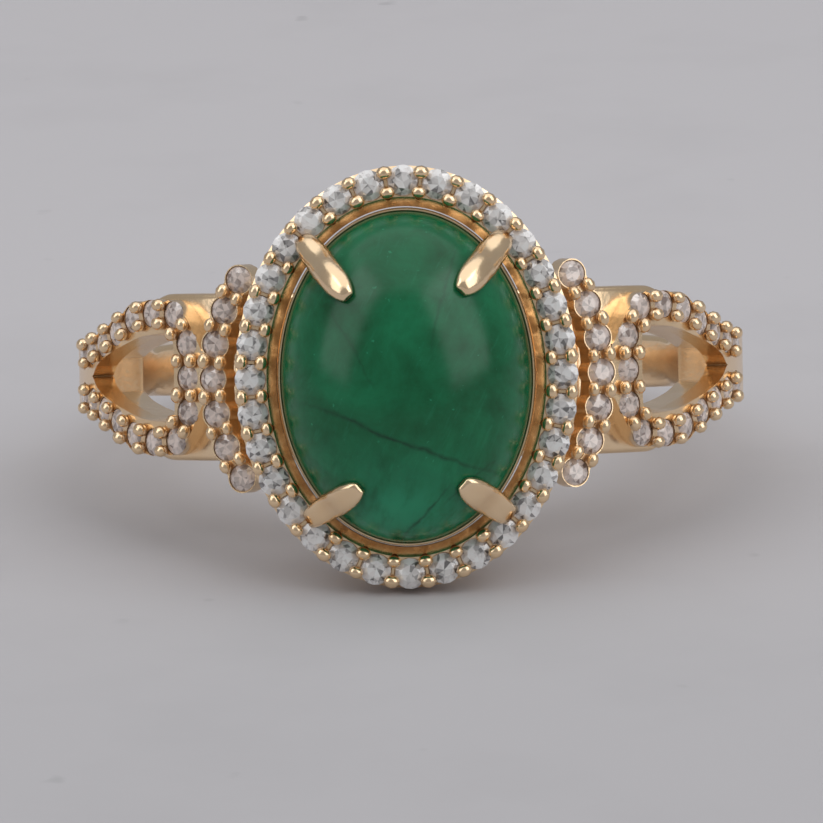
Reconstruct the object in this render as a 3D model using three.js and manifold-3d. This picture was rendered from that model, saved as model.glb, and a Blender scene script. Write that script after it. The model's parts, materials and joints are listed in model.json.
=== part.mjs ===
// Oval cabochon cocktail ring: a claw-set oval stone in a halo of small round stones, with a
// crescent of stones on each side and a split shank closed by pave-set teardrop loops.
// All sizes are in millimetres.
//
// The ring is drawn in its ring frame: X across the finger hole, Y along the finger, Z from the
// middle of the hole towards the big stone. A ring angle is measured about Y from the big stone,
// so 0 is under the stone and 180 is the bottom of the band. The finished ring is then laid on its
// side as it rests on a table, with +Z up and the stone facing -Y.
import * as THREE from 'three';
import { mergeVertices } from 'three/addons/utils/BufferGeometryUtils.js';
import Module from 'manifold-3d';

const wasm = await Module();
wasm.setup();

// Shank: a narrow plain band that widens into flat arms on both sides of the head.
const fingerRadius = 8.65;
const bandWidth = 1.4;
const bandThickness = 1.4;
const armWidth = 5.24;
const armThickness = 1.3;
const bridgeThickness = 0.75;
// The width's share of the way from band to arm, at ring angles past the start of the loops.
const armTaper = [[0, 1], [12, 1], [18, 0.85], [23, 0.65], [28, 0.48], [33, 0.34], [41, 0.22],
  [58, 0.12], [78, 0.03], [93, 0]];
// The ring angle over which the bridge under the stone rises to the arms, before the loops.
const bridgeRise = 6;
const bridgeMargin = 4;

// Teardrop loops: a raised layer on each arm, open in the middle and set with small stones. Their
// ring angles are counted from the loop's start under the crescent.
const loopEdgeStep = 0.17;
const loopThickness = 0.62;
const loopStoneDiameter = 0.84;
const loopStonePitch = 1.08;
const loopStoneInset = 0.5;
const loopColumnInset = 0.43;
const loopColumnAngle = 3.6;
const loopCornerAngle = 6.8;
const loopLastStoneAngle = 42;
const loopFadeAngle = 51;
const loopEndAngle = 63;
// The loop's rounded end at the head, as ring angle and share of the loop's half width.
const loopHeadEnd = [[0, 0.34], [1.4, 0.49], [5.8, 0.93], [8.5, 1]];
// The opening through loop and arm, as ring angle and share of the loop's half width.
const loopOpening = [[6.7, 0.45], [8.2, 0.57], [14, 0.54], [20.5, 0.42], [27, 0.28], [32, 0.14]];
const loopOpeningTip = 34.8;

// Big stone: an oval cabochon with a bevelled underside.
const cabochonLength = 10.3;
const cabochonWidth = 7.8;
const cabochonDome = 3.5;
const cabochonBevel = 0.75;
const cabochonBaseShare = 0.88;
const girdleRise = 3.35;

// Halo: a flat oval plate round the big stone, set with a single row of round stones.
const haloStones = 32;
const haloStoneSpacing = 0.11;
const haloRowPastProng = 0.53;
const haloEdge = 0.045;
const haloThickness = 1.0;
const haloAboveGirdle = 0.15;
const haloEdgeBevel = 0.2;
const haloInnerSlope = 0.6;
const prongFromEnd = 3.5;

// Seat basket under the big stone and the gallery rail that carries it on the shank.
const seatRim = 0.11;
const seatLedge = 0.9;
const basketHeight = 1.1;
const basketWall = 0.5;
const basketLean = 0.65;
const basketWindows = 8;
const basketWindowDiameter = 0.6;
const railWall = 0.6;

// Claw prongs, bent over the stone by hand: each with the angle of its tab from the X axis and
// its own reach past the girdle.
const prongWidth = 0.66;
const prongThickness = 0.42;
const prongTail = 1.15;
const prongs = [
  { name: 'prong_upper_left', heading: 50, reach: 1.5 },
  { name: 'prong_lower_left', heading: 36, reach: 1.4 },
  { name: 'prong_lower_right', heading: 42, reach: 1.25 },
  { name: 'prong_upper_right', heading: 45, reach: 1.5 },
];

// Crescents: a lower row of stones on each side of the halo, leaning outwards.
const crescentFromHaloRow = 1.21;
const crescentDrop = 0.8;
const crescentRadius = 5.52;
const crescentWidth = 1.12;
const crescentThickness = 0.8;
const crescentLean = 22;
const crescentStones = 7;
const crescentStoneDiameter = 0.85;
const crescentStonePitch = 1.09;
const crescentEndMargin = 0.08;
const strutWidth = 3.8;
const strutThickness = 0.95;
const strutOverlap = 0.3;
const loopAfterStrut = 0.35;

// Gap between neighbouring pieces, and between a stone and its seat.
const settingGap = 0.03;

// Small round stones, as shares of their diameter.
const gemSides = 8;
const gemTable = 0.56;
const gemCrown = 0.15;
const gemPavilion = 0.42;
const gemGirdle = 0.03;
const gemSink = 0.06;

// Fineness of the swept shapes.
const bandStep = 5;
const ovalSteps = 48;
const haloSteps = 64;
const domeSteps = 7;
const cutterMargin = 1;

const radians = THREE.MathUtils.degToRad;
const fingerTop = fingerRadius + bridgeThickness;
const armRadius = fingerRadius + armThickness;
const bandRadius = fingerRadius + bandThickness;
const loopBase = armRadius + settingGap;
const loopTop = loopBase + loopThickness;
const loopWidth = armWidth - 2 * loopEdgeStep;
const halfLength = cabochonLength / 2;
const halfWidth = cabochonWidth / 2;
const haloRowOffset = prongThickness + haloRowPastProng;
const girdleHeight = fingerRadius + girdleRise;
const stoneBase = girdleHeight - cabochonBevel;
const haloTop = girdleHeight + haloAboveGirdle;
const haloBottom = haloTop - haloThickness;
const crescentMiddle = halfWidth + haloRowOffset + crescentFromHaloRow;
const crescentTop = haloBottom - crescentDrop;

// The strut under a crescent stands straight out from the finger hole, and the loop starts past it.
const strutAngle = Math.atan2(crescentMiddle, crescentTop - crescentThickness);
const strutTop = Math.hypot(crescentMiddle, crescentTop - crescentThickness) + strutOverlap;
const strutHalfAngle = strutThickness / 2 / armRadius;
const loopStart = THREE.MathUtils.radToDeg(
  strutAngle + strutHalfAngle + loopAfterStrut / armRadius);

// ---------------------------------------------------------------- shapes

// Reads a list of [position, value] pairs, straight between neighbours and level past the ends.
function valueAt(pairs, position) {
  const next = pairs.findIndex(([at]) => at >= position);
  if (next === 0) {
    return pairs[0][1];
  }
  if (next < 0) {
    return pairs[pairs.length - 1][1];
  }
  const [from, low] = pairs[next - 1];
  const [to, high] = pairs[next];
  return THREE.MathUtils.mapLinear(position, from, to, low, high);
}

// A closed geometry from points and triangles, with its faces pointing out.
function closedGeometry(points, triangles) {
  const volume = triangles.reduce((sum, [a, b, c]) => (
    sum + points[a].dot(new THREE.Vector3().crossVectors(points[b], points[c]))), 0);
  const outward = volume < 0 ? triangles.map(([a, b, c]) => [a, c, b]) : triangles;
  const geometry = new THREE.BufferGeometry().setFromPoints(points);
  geometry.setIndex(outward.flat());
  return geometry;
}

// Joins equal vertices and drops the triangles that this leaves without area.
function welded(geometry) {
  const bare = geometry.clone();
  bare.deleteAttribute('normal');
  bare.deleteAttribute('uv');
  const merged = mergeVertices(bare, 1e-4);
  const index = merged.index.array;
  const kept = [];
  for (let i = 0; i < index.length; i += 3) {
    const [a, b, c] = index.slice(i, i + 3);
    if (a !== b && b !== c && c !== a) {
      kept.push(a, b, c);
    }
  }
  merged.setIndex(kept);
  return merged;
}

function solidOf(geometry) {
  const closed = welded(geometry);
  return new wasm.Manifold(new wasm.Mesh({
    numProp: 3,
    vertProperties: new Float32Array(closed.attributes.position.array),
    triVerts: new Uint32Array(closed.index.array),
  }));
}

function geometryOf(solid) {
  const mesh = solid.getMesh();
  const geometry = new THREE.BufferGeometry();
  geometry.setAttribute('position', new THREE.BufferAttribute(mesh.vertProperties, 3));
  geometry.setIndex(new THREE.BufferAttribute(mesh.triVerts, 1));
  return geometry;
}

// Stitches sections with equal numbers of corners into one solid. A closed sweep joins its last
// section to its first, and an open one is capped at both ends.
function sweep(sections, closed) {
  const corners = sections[0].length;
  const triangles = [];
  const spans = closed ? sections.length : sections.length - 1;
  for (let i = 0; i < spans; i += 1) {
    const here = i * corners;
    const there = ((i + 1) % sections.length) * corners;
    for (let j = 0; j < corners; j += 1) {
      const k = (j + 1) % corners;
      triangles.push([here + j, there + j, there + k], [here + j, there + k, here + k]);
    }
  }
  if (!closed) {
    const last = (sections.length - 1) * corners;
    for (let j = 1; j < corners - 1; j += 1) {
      triangles.push([0, j, j + 1], [last, last + j + 1, last + j]);
    }
  }
  return closedGeometry(sections.flat(), triangles);
}

function ringPoint(radius, angle, y) {
  const turn = radians(angle);
  return new THREE.Vector3(radius * Math.sin(turn), y, radius * Math.cos(turn));
}

// A rectangular section across the band at one ring angle.
function bandSection(angle, inner, outer, half) {
  return [
    ringPoint(inner, angle, -half),
    ringPoint(outer, angle, -half),
    ringPoint(outer, angle, half),
    ringPoint(inner, angle, half),
  ];
}

// Ring angles from one end to the other, with the band's own steps between them.
function anglesBetween(from, to, extra = []) {
  const angles = [from, to, ...extra];
  for (let angle = bandStep / 2; angle < to; angle += bandStep) {
    if (angle > from && angles.every((other) => Math.abs(other - angle) > 0.5)) {
      angles.push(angle);
    }
  }
  return angles.sort((a, b) => a - b);
}

// A solid between two radii over an outline of [ring angle, y] points.
function radialPrism(outline, inner, outer) {
  const flat = outline.map(([angle, y]) => new THREE.Vector2(angle, y));
  const count = outline.length;
  const low = outline.map(([angle, y]) => ringPoint(inner, angle, y));
  const high = outline.map(([angle, y]) => ringPoint(outer, angle, y));
  const caps = THREE.ShapeUtils.triangulateShape(flat, []);
  const turnsLeft = THREE.ShapeUtils.area(flat) > 0;
  const triangles = [];
  for (const [a, b, c] of caps) {
    triangles.push([a, c, b], [count + a, count + b, count + c]);
  }
  for (let i = 0; i < count; i += 1) {
    const j = (i + 1) % count;
    const side = [[i, j, count + j], [i, count + j, count + i]];
    triangles.push(...(turnsLeft ? side : side.map(([a, b, c]) => [a, c, b])));
  }
  return closedGeometry([...low, ...high], triangles);
}

// An oval ring round the big stone from a profile of [offset from the girdle, height] corners.
function ovalRing(profile, steps) {
  const sections = [];
  for (let i = 0; i < steps; i += 1) {
    const turn = (2 * Math.PI * (i + 0.5)) / steps;
    sections.push(profile.map(([offset, z]) => new THREE.Vector3(
      (halfWidth + offset) * Math.sin(turn), (halfLength + offset) * Math.cos(turn), z)));
  }
  return sweep(sections, true);
}

// Turns a lathe profile of [radius, height] corners round Z.
function turned(profile, sides) {
  const points = profile.map(([radius, z]) => new THREE.Vector2(radius, z));
  return welded(new THREE.LatheGeometry(points, sides, Math.PI / sides).rotateX(Math.PI / 2));
}

function boxBetween(low, high) {
  const size = high.map((value, axis) => value - low[axis]);
  const middle = high.map((value, axis) => (value + low[axis]) / 2);
  return new THREE.BoxGeometry(...size).translate(...middle);
}

// ---------------------------------------------------------------- small stones and their seats

// A single-cut round stone, with its girdle at height 0 and its table up.
function gemGeometry(diameter) {
  const half = (gemGirdle * diameter) / 2;
  const radius = diameter / 2;
  return turned([
    [0, -gemPavilion * diameter],
    [radius, -half],
    [radius, half],
    [radius * gemTable, gemCrown * diameter],
    [0, gemCrown * diameter],
  ], gemSides);
}

// The seat cutter of that stone: the same shape with the setting gap all round, open upwards.
function seatGeometry(diameter) {
  const half = (gemGirdle * diameter) / 2;
  const radius = diameter / 2 + settingGap;
  return turned([
    [0, -gemPavilion * diameter - settingGap],
    [radius, -half - settingGap],
    [radius, gemCrown * diameter + cutterMargin],
    [0, gemCrown * diameter + cutterMargin],
  ], gemSides);
}

function cutSeats(solid, diameter, places) {
  return places.reduce((metal, place) => (
    metal.subtract(solidOf(seatGeometry(diameter).applyMatrix4(place)))), solid);
}

// Places along the halo row: arc-length positions on its oval, counted from the +Y end.
const haloOval = new THREE.EllipseCurve(0, 0, halfWidth + haloRowOffset, halfLength + haloRowOffset,
  Math.PI / 2, Math.PI * 2.5);
haloOval.arcLengthDivisions = 720;
const haloStoneDiameter = haloOval.getLength() / haloStones - haloStoneSpacing;
const haloInner = haloRowOffset - haloStoneDiameter / 2 - haloEdge;
const haloOuter = haloRowOffset + haloStoneDiameter / 2 + haloEdge;

// A frame on the halo row: X points inwards to the big stone, Y along the row and Z up.
function haloFrame(position, height) {
  const share = THREE.MathUtils.euclideanModulo(position / haloStones, 1);
  const at = haloOval.getPointAt(share);
  const along = haloOval.getTangentAt(share);
  const y = new THREE.Vector3(along.x, along.y, 0);
  const z = new THREE.Vector3(0, 0, 1);
  const x = new THREE.Vector3().crossVectors(y, z).negate();
  return new THREE.Matrix4().makeBasis(x, y.negate(), z).setPosition(at.x, at.y, height);
}

const haloPlaces = Array.from({ length: haloStones }, (_, i) => (
  haloFrame(i, haloTop - gemSink * haloStoneDiameter)));

// Places on a crescent, in the frame of its own plate: origin at the middle of its row, Z out of
// the plate. The plate's frame is then leaned outwards and set beside the halo.
const crescentPose = new THREE.Matrix4().makeRotationY(radians(crescentLean))
  .setPosition(crescentMiddle, 0, crescentTop);
const crescentRange = Array.from({ length: crescentStones }, (_, i) => i - (crescentStones - 1) / 2);
const crescentPlaces = crescentRange.map((step) => {
  const turn = (step * crescentStonePitch) / crescentRadius;
  const local = new THREE.Matrix4().makeRotationZ(turn).setPosition(
    crescentRadius * (Math.cos(turn) - 1),
    crescentRadius * Math.sin(turn),
    -gemSink * crescentStoneDiameter);
  return crescentPose.clone().multiply(local);
});

// Half the shank's width at an angle past the start of the loops.
function armHalf(pastStart) {
  return THREE.MathUtils.lerp(bandWidth, armWidth, valueAt(armTaper, pastStart)) / 2;
}

// Places round a teardrop loop, spaced evenly from the middle of its column along both arms. The
// path is laid out flat, as distance along the loop's surface and y.
function loopPathPoint(pastStart, y) {
  return new THREE.Vector3(radians(pastStart) * loopTop, y, 0);
}

function loopStonePlaces() {
  const armAngles = [loopCornerAngle];
  for (let angle = loopCornerAngle + bandStep; angle < loopLastStoneAngle + 2 * bandStep;) {
    armAngles.push(angle);
    angle += bandStep;
  }
  const path = new THREE.CatmullRomCurve3([
    loopPathPoint(loopColumnAngle, 0),
    loopPathPoint(loopColumnAngle, loopStonePitch),
    ...armAngles.map((angle) => loopPathPoint(angle, Math.min(
      loopWidth / 2 - loopColumnInset, armHalf(angle) - loopStoneInset))),
  ], false, 'centripetal');
  const length = path.getLength();
  const places = [];
  for (let step = 0; step * loopStonePitch < length; step += 1) {
    const at = path.getPointAt((step * loopStonePitch) / length);
    const pastStart = THREE.MathUtils.radToDeg(at.x / loopTop);
    if (pastStart > loopLastStoneAngle) {
      break;
    }
    const angle = loopStart + pastStart;
    for (const side of step === 0 ? [1] : [1, -1]) {
      const point = ringPoint(loopTop - gemSink * loopStoneDiameter, angle, side * at.y);
      places.push(new THREE.Matrix4().makeRotationY(radians(angle)).setPosition(point));
    }
  }
  return places;
}

// ---------------------------------------------------------------- metal pieces

function openingCutter() {
  const upper = loopOpening.map(([angle, share]) => [loopStart + angle, (share * loopWidth) / 2]);
  const lower = upper.map(([angle, y]) => [angle, -y]).reverse();
  const outline = [...upper, [loopStart + loopOpeningTip, 0], ...lower];
  return solidOf(radialPrism(outline, fingerRadius - cutterMargin, loopTop + cutterMargin));
}

function mirrored(solid) {
  return solid.rotate([0, 0, 180]);
}

// The plain band with its two arms, the opening of each loop and a light hole under the stone.
function shankGeometry() {
  const riseEnd = loopStart - bridgeMargin;
  const outline = [[0, fingerTop], [riseEnd - bridgeRise, fingerTop], [riseEnd, armRadius],
    [loopStart + loopEndAngle, armRadius], [130, bandRadius], [180, bandRadius]];
  const sections = anglesBetween(bandStep / 2, 360 - bandStep / 2).map((angle) => {
    const fromStone = Math.min(angle, 360 - angle);
    const outer = valueAt(outline, fromStone);
    return bandSection(angle, fingerRadius, outer, armHalf(fromStone - loopStart));
  });
  const opening = openingCutter();
  const lightHole = new THREE.CylinderGeometry(1, 1, fingerTop, 24).rotateX(Math.PI / 2)
    .scale(armWidth * 0.4, armWidth * 0.34, 1).translate(0, 0, fingerTop);
  const shank = solidOf(sweep(sections, true)).subtract(opening).subtract(mirrored(opening));
  return geometryOf(shank.subtract(solidOf(lightHole)));
}

// The raised layer of the +X loop, with its opening and its stone seats.
function loopGeometry() {
  const corners = loopHeadEnd.slice(1).map(([angle]) => loopStart + angle);
  const fade = [[loopFadeAngle, loopTop], [loopEndAngle, loopTop - 0.7 * loopThickness]];
  const angles = anglesBetween(loopStart, loopStart + loopEndAngle, corners);
  const sections = angles.map((angle) => {
    const past = angle - loopStart;
    const half = Math.min(armHalf(past), (valueAt(loopHeadEnd, past) * loopWidth) / 2);
    return bandSection(angle, loopBase, valueAt(fade, past), half);
  });
  const loop = solidOf(sweep(sections, false)).subtract(openingCutter());
  return geometryOf(cutSeats(loop, loopStoneDiameter, loopStonePlaces()));
}

function prongPositions() {
  const half = haloStones / 2;
  return [prongFromEnd, half - prongFromEnd, half + prongFromEnd, haloStones - prongFromEnd];
}

// A frame at the big stone's edge: X over the stone along the prong's tab, Y across it and Z up.
function prongFrame(position, heading) {
  const edge = new THREE.Vector3(haloRowOffset, 0, 0).applyMatrix4(haloFrame(position, girdleHeight));
  const turn = radians(heading);
  const x = new THREE.Vector3(
    -Math.sign(edge.x) * Math.cos(turn), -Math.sign(edge.y) * Math.sin(turn), 0);
  const z = new THREE.Vector3(0, 0, 1);
  const y = new THREE.Vector3().crossVectors(z, x);
  return new THREE.Matrix4().makeBasis(x, y, z).setPosition(edge);
}

const prongFrames = prongPositions().map((position, i) => prongFrame(position, prongs[i].heading));

function prongSlots() {
  const half = prongWidth / 2 + settingGap;
  const slot = boxBetween(
    [-prongThickness - 2 * settingGap, -half, -prongTail - settingGap],
    [0, half, cutterMargin]);
  return prongFrames.map((frame) => solidOf(slot.clone().applyMatrix4(frame)));
}

// A claw: a short tail between seat and halo, and a tab that lies on the big stone.
function prongGeometry(frame, reach) {
  const half = prongWidth / 2;
  const tail = boxBetween([-prongThickness, -half, -prongTail], [-settingGap, half, 0.1]);
  const tab = boxBetween([-prongThickness, -half, 0], [reach, half, cabochonDome]);
  const cap = solidOf(cabochonGeometry(prongThickness));
  const stone = solidOf(cabochonGeometry(settingGap));
  const bent = solidOf(tab.applyMatrix4(frame)).intersect(cap);
  return geometryOf(bent.add(solidOf(tail.applyMatrix4(frame))).subtract(stone));
}

// The cup that the big stone sits in: a thin rim round the girdle, a ledge under the stone and a
// wall that narrows downwards, pierced by round light windows.
function basketGeometry() {
  const ledge = stoneBase - settingGap;
  const bottom = ledge - basketHeight;
  const foot = seatRim - basketLean;
  const basket = solidOf(ovalRing([
    [seatRim, girdleHeight - settingGap],
    [settingGap, girdleHeight - settingGap],
    [settingGap, ledge],
    [-seatLedge, ledge],
    [foot - basketWall, bottom],
    [foot, bottom],
    [seatRim, ledge - 0.1],
  ], ovalSteps));
  const window = new THREE.CylinderGeometry(basketWindowDiameter / 2, basketWindowDiameter / 2,
    4, 8).rotateZ(Math.PI / 2);
  const height = (ledge + bottom) / 2 - 0.05;
  const pierced = Array.from({ length: basketWindows }, (_, i) => (
    solidOf(window.clone().applyMatrix4(haloFrame((i * haloStones) / basketWindows, height)))));
  return geometryOf([...pierced, ...prongSlots()].reduce((metal, cut) => metal.subtract(cut), basket));
}

// The oval rail under the basket, cut to sit on the curve of the shank.
function railGeometry() {
  const top = stoneBase - 2 * settingGap - basketHeight;
  const outside = seatRim - basketLean;
  const rail = solidOf(ovalRing([
    [outside, top],
    [outside - railWall, top],
    [outside - railWall, fingerRadius - cutterMargin],
    [outside, fingerRadius - cutterMargin],
  ], ovalSteps));
  const seat = new THREE.CylinderGeometry(fingerTop + settingGap, fingerTop + settingGap,
    2 * cabochonLength, 360 / bandStep);
  return geometryOf(rail.subtract(solidOf(seat)));
}

function haloGeometry() {
  const inner = seatRim + settingGap;
  const plate = solidOf(ovalRing([
    [inner, haloBottom],
    [inner, haloTop - haloInnerSlope],
    [haloInner, haloTop],
    [haloOuter - haloEdgeBevel / 4, haloTop],
    [haloOuter, haloTop - haloEdgeBevel],
    [haloOuter - haloEdgeBevel / 2, haloBottom],
  ], haloSteps));
  const seated = cutSeats(plate, haloStoneDiameter, haloPlaces);
  return geometryOf(prongSlots().reduce((metal, slot) => metal.subtract(slot), seated));
}

// The +X crescent: a curved plate with round ends, on a strut that stands on the arm.
function crescentGeometry() {
  const half = crescentWidth / 2;
  const reach = ((crescentStones - 1) / 2) * crescentStonePitch + crescentEndMargin;
  const turn = reach / crescentRadius;
  const outline = new THREE.Shape();
  const endX = crescentRadius * (Math.cos(turn) - 1);
  const endY = crescentRadius * Math.sin(turn);
  outline.absarc(-crescentRadius, 0, crescentRadius + half, -turn, turn, false);
  outline.absarc(endX, endY, half, turn, turn + Math.PI, false);
  outline.absarc(-crescentRadius, 0, crescentRadius - half, turn, -turn, true);
  outline.absarc(endX, -endY, half, Math.PI - turn, 2 * Math.PI - turn, false);
  const plate = new THREE.ExtrudeGeometry(outline, {
    depth: crescentThickness, bevelEnabled: false, curveSegments: 8,
  }).translate(0, 0, -crescentThickness).applyMatrix4(crescentPose);
  const strut = sweep([strutAngle - strutHalfAngle, strutAngle + strutHalfAngle].map((turn) => (
    bandSection(THREE.MathUtils.radToDeg(turn), loopBase, strutTop, strutWidth / 2))), false);
  return geometryOf(cutSeats(solidOf(plate).add(solidOf(strut)), crescentStoneDiameter,
    crescentPlaces));
}

// ---------------------------------------------------------------- big stone

// The cabochon, grown on all sides when it is used to shape what holds it.
function cabochonGeometry(grow) {
  const base = stoneBase - grow;
  const profile = [[0, base], [cabochonBaseShare, base]];
  for (let step = 0; step <= domeSteps; step += 1) {
    const turn = (Math.PI / 2) * (step / domeSteps);
    profile.push([Math.cos(turn), girdleHeight + (cabochonDome + grow) * Math.sin(turn)]);
  }
  profile[profile.length - 1][0] = 0;
  const unit = turned(profile, ovalSteps);
  return welded(unit.scale(halfWidth + grow, halfLength + grow, 1));
}

// ---------------------------------------------------------------- assembly

const gold = () => new THREE.MeshStandardMaterial({ color: 0xdcb487, roughness: 0.24, metalness: 1 });
const emerald = () => new THREE.MeshStandardMaterial({ color: 0x1f6a44, roughness: 0.12, metalness: 0 });
const clear = () => new THREE.MeshStandardMaterial({ color: 0xe4e2e6, roughness: 0.05, metalness: 0 });

const ring = new THREE.Group();

function addPiece(name, geometry, material, place) {
  const mesh = new THREE.Mesh(geometry, material);
  mesh.name = name;
  if (place) {
    mesh.applyMatrix4(place);
  }
  ring.add(mesh);
}

const halfTurn = new THREE.Matrix4().makeRotationZ(Math.PI);

addPiece('shank', shankGeometry(), gold());
addPiece('gallery_rail', railGeometry(), gold());
addPiece('seat_basket', basketGeometry(), gold());
addPiece('halo_plate', haloGeometry(), gold());
addPiece('cabochon', cabochonGeometry(0), emerald());
prongs.forEach(({ name, reach }, i) => {
  addPiece(name, prongGeometry(prongFrames[i], reach), gold());
});

const loop = loopGeometry();
addPiece('teardrop_loop_right', loop, gold());
addPiece('teardrop_loop_left', loop, gold(), halfTurn);

const crescent = crescentGeometry();
addPiece('crescent_right', crescent, gold());
addPiece('crescent_left', crescent, gold(), halfTurn);

const haloStone = gemGeometry(haloStoneDiameter);
haloPlaces.forEach((place, i) => {
  addPiece(`halo_stone_${String(i + 1).padStart(2, '0')}`, haloStone, clear(), place);
});

const crescentStone = gemGeometry(crescentStoneDiameter);
crescentPlaces.forEach((place, i) => {
  addPiece(`crescent_stone_right_${i + 1}`, crescentStone, clear(), place);
  addPiece(`crescent_stone_left_${i + 1}`, crescentStone, clear(), halfTurn.clone().multiply(place));
});

// Lays the ring on its side. Turned by the rest angle, the lowest points of the head and of the
// band are level, so the ring touches the table with both.
function restAngle() {
  const points = [];
  ring.updateMatrixWorld(true);
  ring.traverse((piece) => {
    if (piece.isMesh) {
      const position = piece.geometry.attributes.position;
      for (let i = 0; i < position.count; i += 1) {
        points.push(new THREE.Vector3().fromBufferAttribute(position, i).applyMatrix4(piece.matrixWorld));
      }
    }
  });
  let low = 0;
  let high = Math.PI / 2;
  for (let pass = 0; pass < 50; pass += 1) {
    const angle = (low + high) / 2;
    const height = ({ y, z }) => y * Math.cos(angle) + z * Math.sin(angle);
    const lowest = points.reduce((best, point) => (height(point) < height(best) ? point : best));
    if (lowest.z > 0) {
      low = angle;
    } else {
      high = angle;
    }
  }
  return (low + high) / 2;
}

ring.rotation.x = Math.PI / 2 - restAngle();
const bounds = new THREE.Box3().setFromObject(ring, true);
const middle = bounds.getCenter(new THREE.Vector3());
ring.position.set(-middle.x, -middle.y, -bounds.min.z);

const cocktailRing = new THREE.Group();
cocktailRing.add(ring);

export default cocktailRing;
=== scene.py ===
"""The looks of an oval cabochon cocktail ring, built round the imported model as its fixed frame."""
import json
import math
import random
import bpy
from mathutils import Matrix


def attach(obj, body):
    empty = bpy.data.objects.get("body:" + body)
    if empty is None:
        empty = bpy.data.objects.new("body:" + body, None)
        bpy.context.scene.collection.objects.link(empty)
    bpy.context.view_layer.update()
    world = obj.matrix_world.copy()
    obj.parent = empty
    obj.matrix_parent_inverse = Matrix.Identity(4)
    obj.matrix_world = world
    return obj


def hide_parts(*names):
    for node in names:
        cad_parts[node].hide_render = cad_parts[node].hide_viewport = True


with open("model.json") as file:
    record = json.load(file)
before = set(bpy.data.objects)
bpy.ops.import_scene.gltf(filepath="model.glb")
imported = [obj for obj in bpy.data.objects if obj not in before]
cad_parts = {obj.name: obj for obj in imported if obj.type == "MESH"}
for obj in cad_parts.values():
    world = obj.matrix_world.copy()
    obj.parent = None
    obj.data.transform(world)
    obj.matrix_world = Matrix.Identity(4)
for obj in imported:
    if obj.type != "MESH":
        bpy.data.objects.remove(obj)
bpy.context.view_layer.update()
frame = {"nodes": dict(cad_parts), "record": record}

from types import SimpleNamespace

import bmesh
import bpy
from mathutils import Matrix, Vector

bl_info = {
    "name": "Oval Cabochon Cocktail Ring",
    "version": (1, 0, 0),
    "blender": (4, 5, 0),
    "location": "View3D > Sidebar > Cocktail Ring",
    "description": "Builds a claw-set cabochon ring with a halo, crescents and teardrop loops",
    "category": "Add Mesh",
}

# ------------------------------------------------------------------ the ring frame
# Pieces are drawn in millimetres in the ring frame: X across the finger hole, Y along the finger
# and Z from the middle of the hole to the big stone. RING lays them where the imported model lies.

MM = 0.001
FINGER_RADIUS = 8.65
SEAT_FACET = math.radians(2.5)


def ring_frame():
    mounts = {mount["name"]: mount for mount in frame["record"]["mounts"]}
    towards_stone = Vector(mounts["finger_seat"]["axis"]).normalized()
    along_finger = -Vector(mounts["band_side"]["axis"]).normalized()
    across = along_finger.cross(towards_stone)
    turn = Matrix((across, along_finger, towards_stone)).transposed().to_4x4()
    hole_depth = FINGER_RADIUS * MM * math.cos(SEAT_FACET)
    middle = Vector(mounts["finger_seat"]["pos_m"]) + hole_depth * towards_stone
    return Matrix.Translation(middle) @ turn


RING_PLACE = ring_frame()
RING = RING_PLACE @ Matrix.Scale(MM, 4)
TO_RING = RING.inverted()


def cad_points(name):
    """The corners of a CAD node in the ring frame."""
    return [TO_RING @ vertex.co for vertex in frame["nodes"][name].data.vertices]


def cad_size(name, axis):
    values = [point[axis] for point in cad_points(name)]
    return max(values) - min(values)


def cad_radii(name):
    radii = [math.hypot(point.x, point.z) for point in cad_points(name)]
    return min(radii), max(radii)


# ------------------------------------------------------------------ settings

def size(name, description, millimetres):
    return bpy.props.FloatProperty(name=name, description=description,
                                   default=millimetres * MM, min=0.0, subtype="DISTANCE", unit="LENGTH")


def turn(name, description, degrees):
    return bpy.props.FloatProperty(name=name, description=description,
                                   default=math.radians(degrees), subtype="ANGLE", unit="ROTATION")


def colour(name, description, value):
    return bpy.props.FloatVectorProperty(name=name, description=description, default=value,
                                         size=3, min=0.0, max=1.0, subtype="COLOR")


LOOP_BASE, LOOP_TOP = cad_radii("teardrop_loop_right")
HALO_POINTS = cad_points("halo_plate")
STONE_POINTS = cad_points("cabochon")
WIDEST = max(STONE_POINTS, key=lambda point: point.x)


class RingShankSettings(bpy.types.PropertyGroup):
    band_width: size("Band width", "Width of the plain band at the bottom", 1.4)
    band_waist: size("Band waist", "Width of the band where it leaves the arms", 1.05)
    band_thickness: size("Band thickness", "Thickness of the band at the bottom", 1.4)
    arm_width: size("Arm width", "Width of the arms at the head", cad_size("shank", 1))
    arm_radius: size("Arm radius", "Outside radius of the arms", LOOP_BASE - 0.03)
    bridge_radius: size("Bridge radius", "Outside radius under the stone", 9.4)
    loop_start: turn("Loop start", "Ring angle where a teardrop loop starts", 37.15)
    draft: turn("Opening draft", "How much further the openings reach inside the arms", 10)
    edge_round: size("Edge rounding", "Width of the rounded metal edges", 0.05)


class RingLoopSettings(bpy.types.PropertyGroup):
    width: size("Loop width", "Width of a teardrop loop at the head",
                cad_size("teardrop_loop_right", 1))
    base_radius: size("Base radius", "Inside radius of the raised layer", LOOP_BASE)
    top_radius: size("Top radius", "Outside radius of the raised layer", LOOP_TOP)
    stone: size("Stone diameter", "Diameter of the loop's stones", 0.84)
    pitch: size("Stone pitch", "Distance between neighbouring stones", 1.08)
    scallop: size("Scallop depth", "Depth of the notches between stones on the edge", 0.12)


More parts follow.
